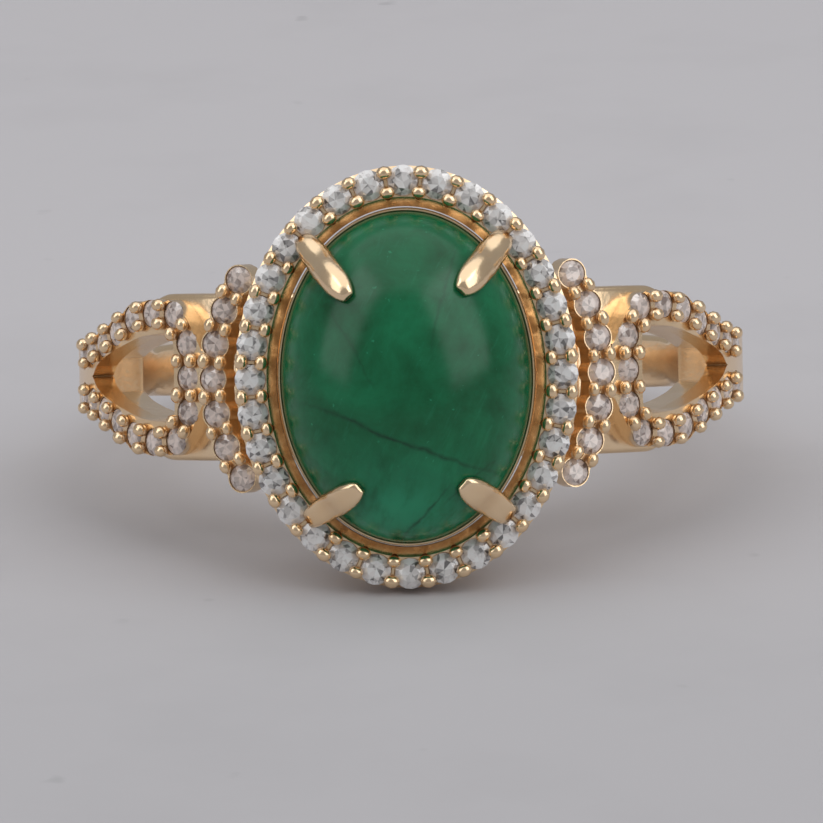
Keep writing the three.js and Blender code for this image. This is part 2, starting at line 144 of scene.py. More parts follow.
class RingHeadSettings(bpy.types.PropertyGroup):
    stone_length: size("Stone length", "Length of the oval cabochon", cad_size("cabochon", 1))
    stone_width: size("Stone width", "Width of the oval cabochon", cad_size("cabochon", 0))
    stone_dome: size("Stone dome", "Height of the dome above the girdle",
                     max(point.z for point in STONE_POINTS) - WIDEST.z)
    girdle_height: size("Girdle height", "Height of the girdle over the finger hole's middle", WIDEST.z)
    stone_bevel: size("Stone bevel", "Depth of the stone below its girdle",
                      WIDEST.z - min(point.z for point in STONE_POINTS))
    halo_top: size("Halo top", "Height of the halo over the finger hole's middle",
                   max(point.z for point in HALO_POINTS))
    halo_thickness: size("Halo thickness", "Thickness of the halo plate", cad_size("halo_plate", 2))
    halo_inner: size("Halo inner edge", "Width from the girdle to the halo's flat top", 0.45)
    halo_outer: size("Halo outer edge", "Width from the girdle to the halo's outer edge", 1.29)
    halo_scallop: size("Scallop depth", "Depth of the notches round the halo's edge", 0.08)
    crescent_width: size("Crescent width", "Width of a crescent", 0.94)
    crescent_thickness: size("Crescent thickness", "Thickness of a crescent", 0.8)
    bead: size("Bead radius", "Radius of the beads that hold the small stones", 0.205)


class RingFinishSettings(bpy.types.PropertyGroup):
    gold: colour("Gold", "Colour of the polished metal", (0.95, 0.72, 0.47))
    gold_shade: colour("Gold shade", "Deeper colour of the metal in its hollows", (0.88, 0.60, 0.33))
    # Laid into deep corners, this brown stands for unpolished metal and for painted shade.
    gold_grime_and_shade: colour("Gold hollow", "Brown of the unpolished metal in deep corners",
                        (0.52, 0.31, 0.14))
    emerald_deep: colour("Emerald deep", "Darkest green of the big stone", (0.001, 0.070, 0.022))
    emerald_light: colour("Emerald light", "Light green of the big stone", (0.006, 0.155, 0.062))
    brilliant: colour("Brilliant", "Tint of the halo's stones", (0.93, 0.90, 0.89))
    champagne: colour("Champagne", "Tint of the lower stones", (0.80, 0.68, 0.62))
    floor: colour("Floor", "Colour of the floor", (0.56, 0.545, 0.565))


def settings(group):
    """A settings group's lengths in millimetres, its angles in degrees and its colours."""
    values = {}
    for name in group.__annotations__:
        value = getattr(group, name)
        prop = group.bl_rna.properties[name]
        if prop.unit == "LENGTH":
            value /= MM
        elif prop.unit == "ROTATION":
            value = math.degrees(value)
        values[name] = value
    return SimpleNamespace(**values)


# ------------------------------------------------------------------ mesh helpers

def smooth_value(pairs, at):
    """Reads [position, value] pairs as a smooth curve that doesn't overshoot, level at both ends."""
    if at <= pairs[0][0]:
        return pairs[0][1]
    if at >= pairs[-1][0]:
        return pairs[-1][1]
    slopes = [(b[1] - a[1]) / (b[0] - a[0]) for a, b in zip(pairs, pairs[1:])]
    span = next(i for i, pair in enumerate(pairs[1:]) if pair[0] >= at)

    def tangent(i):
        if i == 0 or i == len(pairs) - 1:
            return 0.0
        before, after = slopes[i - 1], slopes[i]
        return 0.0 if before * after <= 0 else 2 * before * after / (before + after)

    (x0, y0), (x1, y1) = pairs[span], pairs[span + 1]
    width = x1 - x0
    t = (at - x0) / width
    rise = (1 + 2 * t) * (1 - t) ** 2 * y0 + t * t * (3 - 2 * t) * y1
    return rise + width * t * (1 - t) * ((1 - t) * tangent(span) - t * tangent(span + 1))


def ring_point(radius, degrees, y):
    angle = math.radians(degrees)
    return Vector((radius * math.sin(angle), y, radius * math.cos(angle)))


def half_turned(bm):
    bmesh.ops.rotate(bm, verts=bm.verts, matrix=Matrix.Rotation(math.pi, 3, "Z"), cent=(0, 0, 0))
    return bm


def joined(parts):
    """One bmesh with everything in the given ones, which are used up."""
    whole = bmesh.new()
    for part in parts:
        mesh = bpy.data.meshes.new("part")
        part.to_mesh(mesh)
        part.free()
        whole.from_mesh(mesh)
        bpy.data.meshes.remove(mesh)
    return whole


def cleaned(bm, weld=1e-4):
    bmesh.ops.remove_doubles(bm, verts=bm.verts, dist=weld)
    bmesh.ops.recalc_face_normals(bm, faces=bm.faces)
    return bm


def raised_edge(bm, edges):
    """The loop of edges and their vertices that an extrusion of the given edges makes."""
    made = bmesh.ops.extrude_edge_only(bm, edges=edges)["geom"]
    return ([item for item in made if isinstance(item, bmesh.types.BMEdge)],
            [item for item in made if isinstance(item, bmesh.types.BMVert)])


def capped(bm):
    """Both open ends closed and the faces turned outwards."""
    bmesh.ops.holes_fill(bm, edges=[edge for edge in bm.edges if edge.is_boundary], sides=0)
    return cleaned(bm)


def scratch_object(bm):
    mesh = bpy.data.meshes.new("scratch")
    bm.to_mesh(mesh)
    bm.free()
    made = bpy.data.objects.new("scratch", mesh)
    bpy.context.scene.collection.objects.link(made)
    return made


# A carved piece that keeps less than this share of its volume has come out wrong.
CARVED_LEAST = 0.3


def carved(body, cutter):
    """The body less the cutter, as a new bmesh. Both are used up."""
    whole = abs(body.calc_volume())
    kept, tool = scratch_object(body), scratch_object(cutter)
    modifier = kept.modifiers.new("carve", "BOOLEAN")
    modifier.object = tool
    modifier.operation = "DIFFERENCE"
    modifier.solver = "EXACT"
    shown = kept.evaluated_get(bpy.context.evaluated_depsgraph_get())
    result = bmesh.new()
    result.from_mesh(shown.to_mesh())
    shown.to_mesh_clear()
    left = abs(result.calc_volume())
    if left < CARVED_LEAST * whole or not all(edge.is_manifold for edge in result.edges):
        raise RuntimeError("a carved piece came out empty or open")
    for made in (kept, tool):
        mesh = made.data
        bpy.data.objects.remove(made)
        bpy.data.meshes.remove(mesh)
    return result


# Edges sharper than this angle are rounded, by this much on the thin plates.
SHARP_EDGE = 38
THIN_ROUNDING = 0.02


def add_piece(name, bm, material, nodes=(), rounding=0.0, flat=False):
    """Turns a bmesh in the ring frame into a finished piece that rides on the ring."""
    mesh = bpy.data.meshes.new(name)
    bm.to_mesh(mesh)
    bm.free()
    mesh.transform(RING)
    mesh.materials.append(material)
    if flat:
        mesh.shade_flat()
    else:
        mesh.shade_smooth()
    piece = bpy.data.objects.new(name, mesh)
    bpy.context.scene.collection.objects.link(piece)
    if rounding:
        bevel = piece.modifiers.new("rounded edges", "BEVEL")
        bevel.width = rounding * MM
        bevel.segments = 2
        bevel.limit_method = "ANGLE"
        bevel.angle_limit = math.radians(SHARP_EDGE)
        bevel.harden_normals = True
    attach(piece, "root")
    if nodes:
        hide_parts(*nodes)
    return piece


# ------------------------------------------------------------------ rows of small stones
# A small stone is a place: the middle of its girdle, its axis and its diameter.

# A brilliant's table radius, and its heights over and under the girdle, as shares of its diameter.
TABLE = 0.28
CROWN = 0.15
PAVILION = 0.42
GIRDLE = 0.015
# How far below its top a CAD stone's table corners may lie, and the lean of the crescents' stones.
TABLE_SLACK = 0.03
CRESCENT_LEAN = 22
# The most that a stone's axis is tilted each way by its setting.
STONE_TILT = 0.035


def stone_from_cad(name, outward):
    points = cad_points(name)
    culet = min(points, key=outward.dot)
    top = max(outward.dot(point) for point in points)
    table = [point for point in points if outward.dot(point) > top - TABLE_SLACK]
    middle = sum(table, Vector()) / len(table)
    axis = middle - culet
    diameter = axis.length / (CROWN + PAVILION)
    axis.normalize()
    return SimpleNamespace(at=culet + PAVILION * diameter * axis, axis=axis, diameter=diameter)


def halo_row():
    names = sorted(name for name in frame["nodes"] if name.startswith("halo_stone_"))
    return names, [stone_from_cad(name, Vector((0, 0, 1))) for name in names]


def crescent_row(side):
    lean = math.radians(CRESCENT_LEAN if side == "right" else -CRESCENT_LEAN)
    outward = Vector((math.sin(lean), 0, math.cos(lean)))
    prefix = f"crescent_stone_{side}_"
    names = sorted(name for name in frame["nodes"] if name.startswith(prefix))
    return names, [stone_from_cad(name, outward) for name in names]


# Ring angles past a loop's start: its column of stones, its corner and its last stone.
COLUMN_ANGLE = 3.6
CORNER_ANGLE = 6.8
LAST_STONE_ANGLE = 46
# The stones' way in from the loop's edge and from the arm's, and their sink into the metal.
ROW_INSET = 0.43
ARM_STONE_INSET = 0.5
STONE_SINK = 0.06
PATH_STEP = 0.5
PATH_STEPS = 80


def loop_arm_row(loop, shank):
    """The +X loop's stones from the middle of its column along its +Y arm."""
    radius = loop.top_radius - STONE_SINK * loop.stone

    def y_at(past):
        return min(loop.width / 2 - ROW_INSET, arm_half(shank, past) - ARM_STONE_INSET)

    path = [(COLUMN_ANGLE, 0.0), (COLUMN_ANGLE, 0.9 * loop.pitch),
            (COLUMN_ANGLE + 0.35, 1.25 * loop.pitch)]
    arm_pasts = [CORNER_ANGLE + step * PATH_STEP for step in range(PATH_STEPS)]
    path += [(past, y_at(past)) for past in arm_pasts]
    points = [Vector((math.radians(past) * loop.top_radius, y)) for past, y in path]
    row = []
    travelled, wanted = 0.0, 0.0
    for here, there in zip(points, points[1:]):
        step = (there - here).length
        while travelled + step >= wanted:
            spot = here.lerp(there, (wanted - travelled) / step)
            past = math.degrees(spot.x / loop.top_radius)
            if past > LAST_STONE_ANGLE:
                return row
            degrees = shank.loop_start + past
            row.append(SimpleNamespace(at=ring_point(radius, degrees, spot.y),
                                       axis=ring_point(1, degrees, 0), diameter=loop.stone))
            wanted += loop.pitch
        travelled += step
    return row


def flipped_row(row, signs):
    """A row whose places and axes have their X, Y and Z multiplied by the signs."""
    flip = Vector(signs)
    return [SimpleNamespace(at=stone.at * flip, axis=stone.axis * flip, diameter=stone.diameter)
            for stone in row]


def stone_matrix(stone, spin=0.0):
    turned = stone.axis.to_track_quat("Z", "Y").to_matrix().to_4x4()
    return Matrix.Translation(stone.at) @ turned @ Matrix.Rotation(spin, 4, "Z")


def brilliant_cut(bm, stone, spin, draws):
    """A round brilliant: table, star and bezel corners, girdle, pavilion corners and culet."""
    circles = (
        (8, 0.0, TABLE, CROWN),
        (8, 0.5, 0.375, 0.096),
        (16, 0.0, 0.5, GIRDLE),
        (16, 0.0, 0.5, -GIRDLE),
        (8, 0.5, 0.20, -0.272),
    )
    corners = []
    for count, phase, radius, height in circles:
        for i in range(count):
            angle = 2 * math.pi * (i + phase) / count
            corners.append(bm.verts.new((radius * math.cos(angle), radius * math.sin(angle), height)))
    # A corner just over the table breaks it into faint facets.
    corners.append(bm.verts.new((0.05, 0.03, CROWN + 0.004)))
    corners.append(bm.verts.new((0, 0, -PAVILION)))
    bmesh.ops.convex_hull(bm, input=corners)
    # Each facet draws a painted sparkle shade, light or dark, for the light its back facets send back.
    glints = bm.faces.layers.float.get("glint") or bm.faces.layers.float.new("glint")
    for facet in {facet for corner in corners for facet in corner.link_faces}:
        facet[glints] = draws.random()
    place = stone_matrix(stone, spin) @ Matrix.Scale(stone.diameter, 4)
    bmesh.ops.transform(bm, verts=corners, matrix=place)


def small_stones(name, stones, material, nodes, seed):
    draws = random.Random(seed)
    bm = bmesh.new()
    for stone in stones:
        tilted = SimpleNamespace(**vars(stone))
        tilt = Vector(draws.uniform(-STONE_TILT, STONE_TILT) for _ in range(3))
        tilted.axis = (stone.axis + tilt).normalized()
        brilliant_cut(bm, tilted, draws.uniform(0, math.pi), draws)
    bmesh.ops.recalc_face_normals(bm, faces=bm.faces)
    return add_piece(name, bm, material, nodes, flat=True)


# A stone's seat: its clearance, the cone's tip radius and depth, and the bearing's width and height.
SEAT_CLEARANCE = 0.015
SEAT_TIP = 0.12
SEAT_DEPTH = 0.5
BEARING_WIDTH = 0.04
BEARING = -0.03
BEARING_RISE = 0.002
SEAT_REACH = 1.0


def seat_cutter(diameter):
    """A round well over a cone, open upwards, as one closed shape."""
    radius = diameter / 2 + SEAT_CLEARANCE
    bm = bmesh.new()
    bmesh.ops.create_circle(bm, cap_ends=False, segments=28, radius=SEAT_TIP)
    bmesh.ops.translate(bm, verts=bm.verts, vec=(0, 0, -SEAT_DEPTH))
    edge, wide, height = bm.edges[:], SEAT_TIP, -SEAT_DEPTH
    steps = ((radius - BEARING_WIDTH, BEARING), (radius, BEARING + BEARING_RISE), (radius, SEAT_REACH))
    for next_wide, next_height in steps:
        edge, verts = raised_edge(bm, edge)
        bmesh.ops.scale(bm, verts=verts, vec=(next_wide / wide, next_wide / wide, 1))
        bmesh.ops.translate(bm, verts=verts, vec=(0, 0, next_height - height))
        wide, height = next_wide, next_height
    return capped(bm)


def repeated(template, places):
    """Copies of a bmesh at the given places, as one bmesh. The template is used up."""
    mesh = bpy.data.meshes.new("template")
    template.to_mesh(mesh)
    template.free()
    bm = bmesh.new()
    for place in places:
        before = len(bm.verts)
        bm.from_mesh(mesh)
        bm.verts.ensure_lookup_table()
        bmesh.ops.transform(bm, verts=bm.verts[before:], matrix=place)
    bpy.data.meshes.remove(mesh)
    return bm


def seats(stones):
    return repeated(seat_cutter(stones[0].diameter), [stone_matrix(stone) for stone in stones])


# The beads' height over the girdles, their length against their width, their scatter in size,
# and how far they stand off the middle of each row.
BEAD_LIFT = 0.21
BEAD_OVAL = 1.22
BEAD_LEAST = 0.93
BEAD_MOST = 1.07
LOOP_BEAD_SPREAD = 0.29
CRESCENT_BEAD_SPREAD = 0.27
HALO_BEAD_SPREAD = 0.31


def bead(bm, at, up, along, radii):
    turned = Matrix((along, up.cross(along), up)).transposed().to_4x4()
    shape = Matrix.Diagonal((*radii, 1.0))
    bmesh.ops.create_uvsphere(bm, u_segments=10, v_segments=6, radius=1.0,
                              matrix=Matrix.Translation(at) @ turned @ shape)


def bead_pairs(bm, row, spread, radius, draws, closed=False):
    """A bead on each side of the gap between neighbouring stones."""
    following = row[1:] + row[:1] if closed else row[1:]
    for one, other in zip(row, following):
        up = (one.axis + other.axis).normalized()
        along = (other.at - one.at).normalized()
        across = along.cross(up).normalized()
        middle = (one.at + other.at) / 2 + BEAD_LIFT * up
        for side in (-1, 1):
            grown = radius * draws.uniform(BEAD_LEAST, BEAD_MOST)
            bead(bm, middle + side * spread * across, up, along, (grown * BEAD_OVAL, grown, grown))


# ------------------------------------------------------------------ shank and loops

# The width's share of the way from band to arm, at ring angles past the start of the loops.
ARM_TAPER = ((0, 1), (12, 1), (18, 0.85), (23, 0.65), (28, 0.48), (33, 0.34), (41, 0.22),
             (58, 0.12), (78, 0.03), (93, 0))
# The arms rise from the bridge over this ring angle, and end their rise this far before the loops.
BRIDGE_RISE = 6
BRIDGE_MARGIN = 4
BAND_START = 130
RING_STEPS = 288
# The raised layer sinks by a share of its thickness between these ring angles past its start.
LOOP_FADE = 51
LOOP_END = 63
LOOP_FADE_SHARE = 0.94
LOOP_HEAD_END = ((0, 0.34), (1.4, 0.49), (3.4, 0.74), (5.8, 0.93), (8.5, 1))
# Half the opening's width as a share of the loop's half width, at ring angles past its start.
OPENING = ((8.2, 0.57), (14, 0.54), (20.5, 0.42), (27, 0.28), (32, 0.14), (34.8, 0.004))
# The arms' own opening is a little wider, with a flat end.
ARM_OPENING = ((8.2, 0.56), (14, 0.54), (20.5, 0.46), (27, 0.35), (34.4, 0.22))
OPENING_START = 6.7
OPENING_STEPS = 60
OPENING_CORNER = 1.5
OPENING_CORNER_DEPTH = 0.2
# The draft leans the opening's walls from this angle on, in this many steps through the metal.
DRAFT_START = 18
DRAFT_STEPS = 6


def arm_half(shank, past):
    share = smooth_value(ARM_TAPER, past)
    return (shank.band_width + share * (shank.arm_width - shank.band_width)) / 2


def opening_half(loop, past, shape):
    """Half the opening's width, rounded at the corners next to the head."""
    inward = past - OPENING_START
    full = smooth_value(shape, past)
    if inward < OPENING_CORNER:
        corner = 1 - inward / OPENING_CORNER
        full -= OPENING_CORNER_DEPTH * (1 - math.sqrt(max(0.0, 1 - corner * corner)))
    return full * loop.width / 2


def wrapped(bm):
    """Bends a flat shape, drawn as ring angle, y and radius, round the ring."""
    for vertex in bm.verts:
        vertex.co = ring_point(vertex.co.z, vertex.co.x, vertex.co.y)
    return cleaned(bm)


def opening_cutter(shank, loop, shape, inner, outer, draft=0.0):
    """The +X arm's opening between two radii, drawn flat and bent round the ring."""
    bm = bmesh.new()
    reach = shape[-1][0] - OPENING_START
    shares = [(1 - math.cos(math.pi * step / OPENING_STEPS)) / 2 for step in range(OPENING_STEPS + 1)]
    pasts = [OPENING_START + reach * share for share in shares]
    upper = [(past, opening_half(loop, past, shape)) for past in pasts]
    outline = upper + [(past, -y) for past, y in reversed(upper) if y > 0]
    low = [bm.verts.new((shank.loop_start + past, y, inner)) for past, y in outline]
    bmesh.ops.delete(bm, geom=[bm.faces.new(low)], context="FACES_ONLY")
    edge = bm.edges[:]
    for _ in range(DRAFT_STEPS):
        edge, verts = raised_edge(bm, edge)
        bmesh.ops.translate(bm, verts=verts, vec=(0, 0, (outer - inner) / DRAFT_STEPS))
    capped(bm)
    full = shape[-1][0] - DRAFT_START
    for vertex in bm.verts:
        depth = (loop.base_radius - vertex.co.z) / (loop.base_radius - FINGER_RADIUS)
        share = max(0.0, vertex.co.x - shank.loop_start - DRAFT_START) / full
        vertex.co.x += draft * share * min(1.0, max(0.0, depth))
    bmesh.ops.recalc_face_normals(bm, faces=bm.faces[:])
    return wrapped(bm)


def light_hole(shank):
    """The oval hole in the bridge under the stone."""
    bm = bmesh.new()
    bmesh.ops.create_cone(bm, cap_ends=True, segments=64, radius1=1.0, radius2=1.0, depth=6.0)
    bmesh.ops.scale(bm, verts=bm.verts, vec=(shank.arm_width * 0.4, shank.arm_width * 0.34, 1))
    bmesh.ops.translate(bm, verts=bm.verts, vec=(0, 0, shank.bridge_radius))
    return bm


# The share of the band's narrowing, at ring angles.
WAIST = ((100, 0.0), (114, 1.0), (138, 1.0), (165, 0.0))


def shank_body(shank):
    """A rounded section spun round the finger hole and widened into the arms."""
    half = shank.band_width / 2
    outer = FINGER_RADIUS + shank.band_thickness
    bm = bmesh.new()
    corners = [bm.verts.new((0, y, r)) for r, y in
               ((FINGER_RADIUS, -half), (outer, -half), (outer, half), (FINGER_RADIUS, half))]
    bm.faces.new(corners)
    bmesh.ops.bevel(bm, geom=corners, offset=0.2, offset_type="OFFSET", segments=5, profile=0.5,
                    affect="VERTICES", material=-1)
    bmesh.ops.delete(bm, geom=bm.faces[:], context="FACES_ONLY")
    bmesh.ops.spin(bm, geom=bm.verts[:] + bm.edges[:], cent=(0, 0, 0), axis=(0, 1, 0),
                   dvec=(0, 0, 0), angle=2 * math.pi, steps=RING_STEPS, use_merge=True)
    rise_end = shank.loop_start - BRIDGE_MARGIN
    outline = ((rise_end - BRIDGE_RISE, shank.bridge_radius), (rise_end, shank.arm_radius),
               (shank.loop_start + LOOP_END, shank.arm_radius), (BAND_START, outer))
    for vertex in bm.verts:
        degrees = math.degrees(math.atan2(vertex.co.x, vertex.co.z))
        radius = math.hypot(vertex.co.x, vertex.co.z)
        widen = arm_half(shank, abs(degrees) - shank.loop_start) - half
        widen -= (shank.band_width - shank.band_waist) / 2 * smooth_value(WAIST, abs(degrees))
        if radius > (FINGER_RADIUS + outer) / 2:
            radius += smooth_value(outline, abs(degrees)) - outer
        vertex.co = ring_point(radius, degrees, vertex.co.y + math.copysign(widen, vertex.co.y))
    return cleaned(bm)


# The loop's width past its last stone as a share of the arm's, and its sink into the arm.
LOOP_TAIL = ((LAST_STONE_ANGLE + 4, 1.0), (LOOP_END, 0.42))
LOOP_SINK = 0.06


def loop_half(shank, loop, past, stones):
    """Half the loop's width, notched between its stones."""
    nominal = min(arm_half(shank, past), smooth_value(LOOP_HEAD_END, past) * loop.width / 2)
    if past > max(stones):
        return nominal * smooth_value(LOOP_TAIL, past)
    if past < CORNER_ANGLE + 1:
        return nominal
    nearest = min(abs(past - other) for other in stones)
    share = min(1.0, math.radians(nearest) * loop.top_radius / (loop.pitch / 2))
    return nominal - loop.scallop * share ** 2


def loop_body(shank, loop, row):
    """The raised layer of the +X loop, before its opening and its seats are cut."""
    pasts = [math.degrees(math.atan2(stone.at.x, stone.at.z)) - shank.loop_start for stone in row]
    bm = bmesh.new()
    bmesh.ops.create_grid(bm, x_segments=210, y_segments=4, size=0.5)
    sink = LOOP_FADE_SHARE * (loop.top_radius - loop.base_radius)
    fade = ((LOOP_FADE, loop.top_radius), (LOOP_END, loop.top_radius - sink))
    for vertex in bm.verts:
        past = (vertex.co.x + 0.5) * LOOP_END
        half = loop_half(shank, loop, past, pasts)
        vertex.co = Vector((shank.loop_start + past, 2 * vertex.co.y * half, smooth_value(fade, past)))
    sunk = bmesh.ops.extrude_face_region(bm, geom=bm.faces[:])["geom"]
    for item in sunk:
        if isinstance(item, bmesh.types.BMVert):
            item.co.z = loop.base_radius - LOOP_SINK
    return wrapped(bm)


# ------------------------------------------------------------------ head

def oval_ring(head, profile, steps):
    """A ring round the big stone from a profile of [width past the girdle, height] corners."""
    half_width, half_length = head.stone_width / 2, head.stone_length / 2
    bm = bmesh.new()
    corners = [bm.verts.new((half_width + past, 0, z)) for past, z in profile]
    for one, other in zip(corners, corners[1:] + corners[:1]):
        bm.edges.new((one, other))
    bmesh.ops.spin(bm, geom=bm.verts[:] + bm.edges[:], cent=(0, 0, 0), axis=(0, 0, 1),
                   dvec=(0, 0, 0), angle=2 * math.pi, steps=steps, use_merge=True)
    for vertex in bm.verts:
        radius = math.hypot(vertex.co.x, vertex.co.y)
        stretch = half_length - half_width
        vertex.co.y += stretch * vertex.co.y / radius
    return cleaned(bm)


# The scallops reach this far down the halo's outer edge.
SCALLOP_DEPTH = 0.35


def halo_body(head, row):
    """The halo's oval plate, notched round its outer edge between the stones."""
    top, bottom = head.halo_top, head.halo_top - head.halo_thickness
    bm = oval_ring(head, [
        (0.15, bottom),
        (0.15, top - 0.26),
        (0.26, top - 0.20),
        (head.halo_inner - 0.05, top - 0.04),
        (head.halo_inner, top),
        (head.halo_outer - 0.05, top),
        (head.halo_outer, top - 0.06),
        (head.halo_outer, top - 0.30),
        (head.halo_outer + 0.12, top - 0.38),
        (head.halo_outer + 0.12, top - 0.60),
        (head.halo_outer - 0.10, bottom),
    ], 448)
    spacing = (row[1].at - row[0].at).length / 2
    for vertex in bm.verts:
        flat = Vector((vertex.co.x, vertex.co.y, 0))
        squashed = vertex.co.y * head.stone_width / head.stone_length
        direction = Vector((vertex.co.x, squashed, 0)).normalized()
        reach = min((flat - Vector((stone.at.x, stone.at.y, 0))).length for stone in row)
        inside = direction.x * head.stone_width / 2, direction.y * head.stone_length / 2
        past = (flat - Vector((*inside, 0))).length
        if past > (head.halo_inner + head.halo_outer) / 2 and vertex.co.z > top - SCALLOP_DEPTH:
            clear = row[0].diameter / 2
            share = min(1.0, max(0.0, (reach - clear) / (0.22 * spacing + 0.02)))
            vertex.co -= direction * head.halo_scallop * share
    return bm


# The scoops in the halo's inner edge: way in from the stones, radius and stretch downwards.
NOTCH_INSET = 0.44
NOTCH_RADIUS = 0.12
NOTCH_STRETCH = 3.0
# How flat the inward directions are drawn, to follow the oval.
NOTCH_SQUASH = 0.62


def notches(row):
    """Small scoops in the halo's inner edge, next to its inner beads."""
    bm = bmesh.new()
    for one, other in zip(row, row[1:] + row[:1]):
        middle = (one.at + other.at) / 2
        inward = -Vector((middle.x, middle.y * NOTCH_SQUASH, 0)).normalized()
        place = Matrix.Translation(middle + NOTCH_INSET * inward + Vector((0, 0, 0.05)))
        bmesh.ops.create_icosphere(bm, subdivisions=2, radius=NOTCH_RADIUS,
                                   matrix=place @ Matrix.Diagonal((1, 1, NOTCH_STRETCH, 1)))
    return bm


# A crescent's least width between two stones, as a share of its full width.
CRESCENT_NECK = 0.80


def crescent_body(row, head):
    """A curved plate under one crescent's stones, with scalloped sides and round ends, without a strut."""
    middle = row[len(row) // 2]
    ends = row[0], row[-1]
    chord = (ends[1].at - ends[0].at).length / 2
    sagitta = (middle.at - (ends[0].at + ends[1].at) / 2).length
    radius = (chord * chord + sagitta * sagitta) / (2 * sagitta)
    out = (middle.at - (ends[0].at + ends[1].at) / 2).normalized()
    up = middle.axis
    along = up.cross(out)
    place = Matrix((out, along, up)).transposed().to_4x4()
    place.translation = middle.at + up * STONE_SINK * middle.diameter
    pitch = (row[1].at - row[0].at).length
    half = head.crescent_width / 2
    turn_per_stone = 2 * math.asin(pitch / (2 * radius))
    last = (len(row) - 1) / 2
    reach = last * turn_per_stone + half / radius
    bm = bmesh.new()
    bmesh.ops.create_grid(bm, x_segments=168, y_segments=2, size=0.5)
    for vertex in bm.verts:
        angle = 2 * vertex.co.x * reach
        nearest = round(angle / turn_per_stone + last)
        nearest = min(max(nearest, 0), len(row) - 1) - last
        away = abs(angle - nearest * turn_per_stone) * radius
        wide = math.sqrt(max(0.0, half * half - away * away))
        if abs(angle) < last * turn_per_stone:
            wide = max(wide, CRESCENT_NECK * half)
        r = radius + 2 * vertex.co.y * wide
        vertex.co = Vector((r * math.cos(angle) - radius, r * math.sin(angle), 0))
    bmesh.ops.remove_doubles(bm, verts=bm.verts, dist=1e-4)
    sunk = bmesh.ops.extrude_face_region(bm, geom=bm.faces[:])["geom"]
    for item in sunk:
        if isinstance(item, bmesh.types.BMVert):
            item.co.z = -head.crescent_thickness
    bmesh.ops.transform(bm, verts=bm.verts, matrix=place)
    return cleaned(bm)


SOLDER_GAP = 0.03
OVAL_STEPS = 192
BASKET_DEPTH = 1.1
BASKET_RIM = 0.10
WINDOWS = 12
WINDOW_RADIUS = 0.3
WINDOW_INSET = 0.4
WINDOW_DROP = 0.6
# The gallery rail: its walls from the girdle, its top below the stone and its lowest corner's height.
RAIL_OUTER = -0.54
RAIL_INNER = -1.14
RAIL_DROP = 1.16
RAIL_BOTTOM = 7.6
# The rail is cut to the bridge's round, a little over its outside radius.
BORE_RADIUS = 9.42
BORE_LENGTH = 22


def basket_body(head, ledge):
    """The cup under the big stone, with a thin rim round its girdle."""
    bottom = ledge - BASKET_DEPTH
    rim = head.girdle_height + BASKET_RIM
    return oval_ring(head, [(0.10, rim - 0.05), (0.075, rim), (0.035, rim), (0.0, rim - 0.04),
                            (0.0, ledge), (-0.9, ledge), (-1.04, bottom), (RAIL_OUTER, bottom),
                            (0.11, ledge - 0.1)], OVAL_STEPS)


def basket_windows(head, ledge):
    """Round holes through the cup's wall, which let light under the stone."""
    windows = bmesh.new()
    for i in range(WINDOWS):
        angle = 2 * math.pi * (i + 0.5) / WINDOWS
        at = Vector((math.cos(angle) * (head.stone_width / 2 - WINDOW_INSET),
                     math.sin(angle) * (head.stone_length / 2 - WINDOW_INSET), ledge - WINDOW_DROP))
        out = Vector((math.cos(angle) / head.stone_width, math.sin(angle) / head.stone_length, 0))
        turned = out.to_track_quat("Z", "Y").to_matrix().to_4x4()
        bmesh.ops.create_cone(windows, cap_ends=True, segments=24, radius1=WINDOW_RADIUS,
                              radius2=WINDOW_RADIUS, depth=3.0,
                              matrix=Matrix.Translation(at) @ turned)
    return windows


def gallery_body(head):
    """The rail between the basket and the bridge, before it is cut to the bridge's round."""
    top = head.girdle_height - head.stone_bevel - RAIL_DROP
    return oval_ring(head, [(RAIL_OUTER, top), (RAIL_INNER, top), (RAIL_INNER, RAIL_BOTTOM),
                            (RAIL_OUTER, RAIL_BOTTOM)], OVAL_STEPS)


def gallery_bore():
    bore = bmesh.new()
    bmesh.ops.create_cone(bore, cap_ends=True, segments=RING_STEPS, radius1=BORE_RADIUS,
                          radius2=BORE_RADIUS, depth=BORE_LENGTH,
                          matrix=Matrix.Rotation(math.pi / 2, 4, "X"))
    return bore


def cabochon_body(head):
    """The oval dome with its soft girdle and bevelled underside, spun and stretched to an oval."""
    half_width = head.stone_width / 2
    base = head.girdle_height - head.stone_bevel
    profile = [(0.0, base), (half_width * 0.80, base), (half_width * 0.88, base + 0.04),
               (half_width * 0.985, head.girdle_height - 0.12), (half_width, head.girdle_height - 0.02)]
    for step in range(29):
        angle = math.pi / 2 * step / 28
        profile.append((half_width * math.cos(angle), head.girdle_height + head.stone_dome * math.sin(angle)))
    bm = bmesh.new()
    points = [bm.verts.new((radius, 0, z)) for radius, z in profile]
    for one, other in zip(points, points[1:]):
        bm.edges.new((one, other))
    bmesh.ops.spin(bm, geom=bm.verts[:] + bm.edges[:], cent=(0, 0, 0), axis=(0, 0, 1),
                   dvec=(0, 0, 0), angle=2 * math.pi, steps=144, use_merge=True)
    bmesh.ops.scale(bm, verts=bm.verts, vec=(1, head.stone_length / head.stone_width, 1))
    return cleaned(bm)


# Each claw's place on the halo row, the heading of its tab from the X axis in degrees, its length
# from the halo row over the stone in mm, its share of the usual width, and its back: filed flat
# below 1, and rounded at 1.
CLAWS = (
    ("prong_upper_left", 3.5, 51, 2.54, 1.08, 1.0),
    ("prong_lower_left", 12.5, 33, 2.20, 1.02, 0.45),
    ("prong_lower_right", 19.5, 38, 2.06, 1.12, 0.45),
    ("prong_upper_right", 28.5, 50, 2.42, 1.14, 1.0),
)
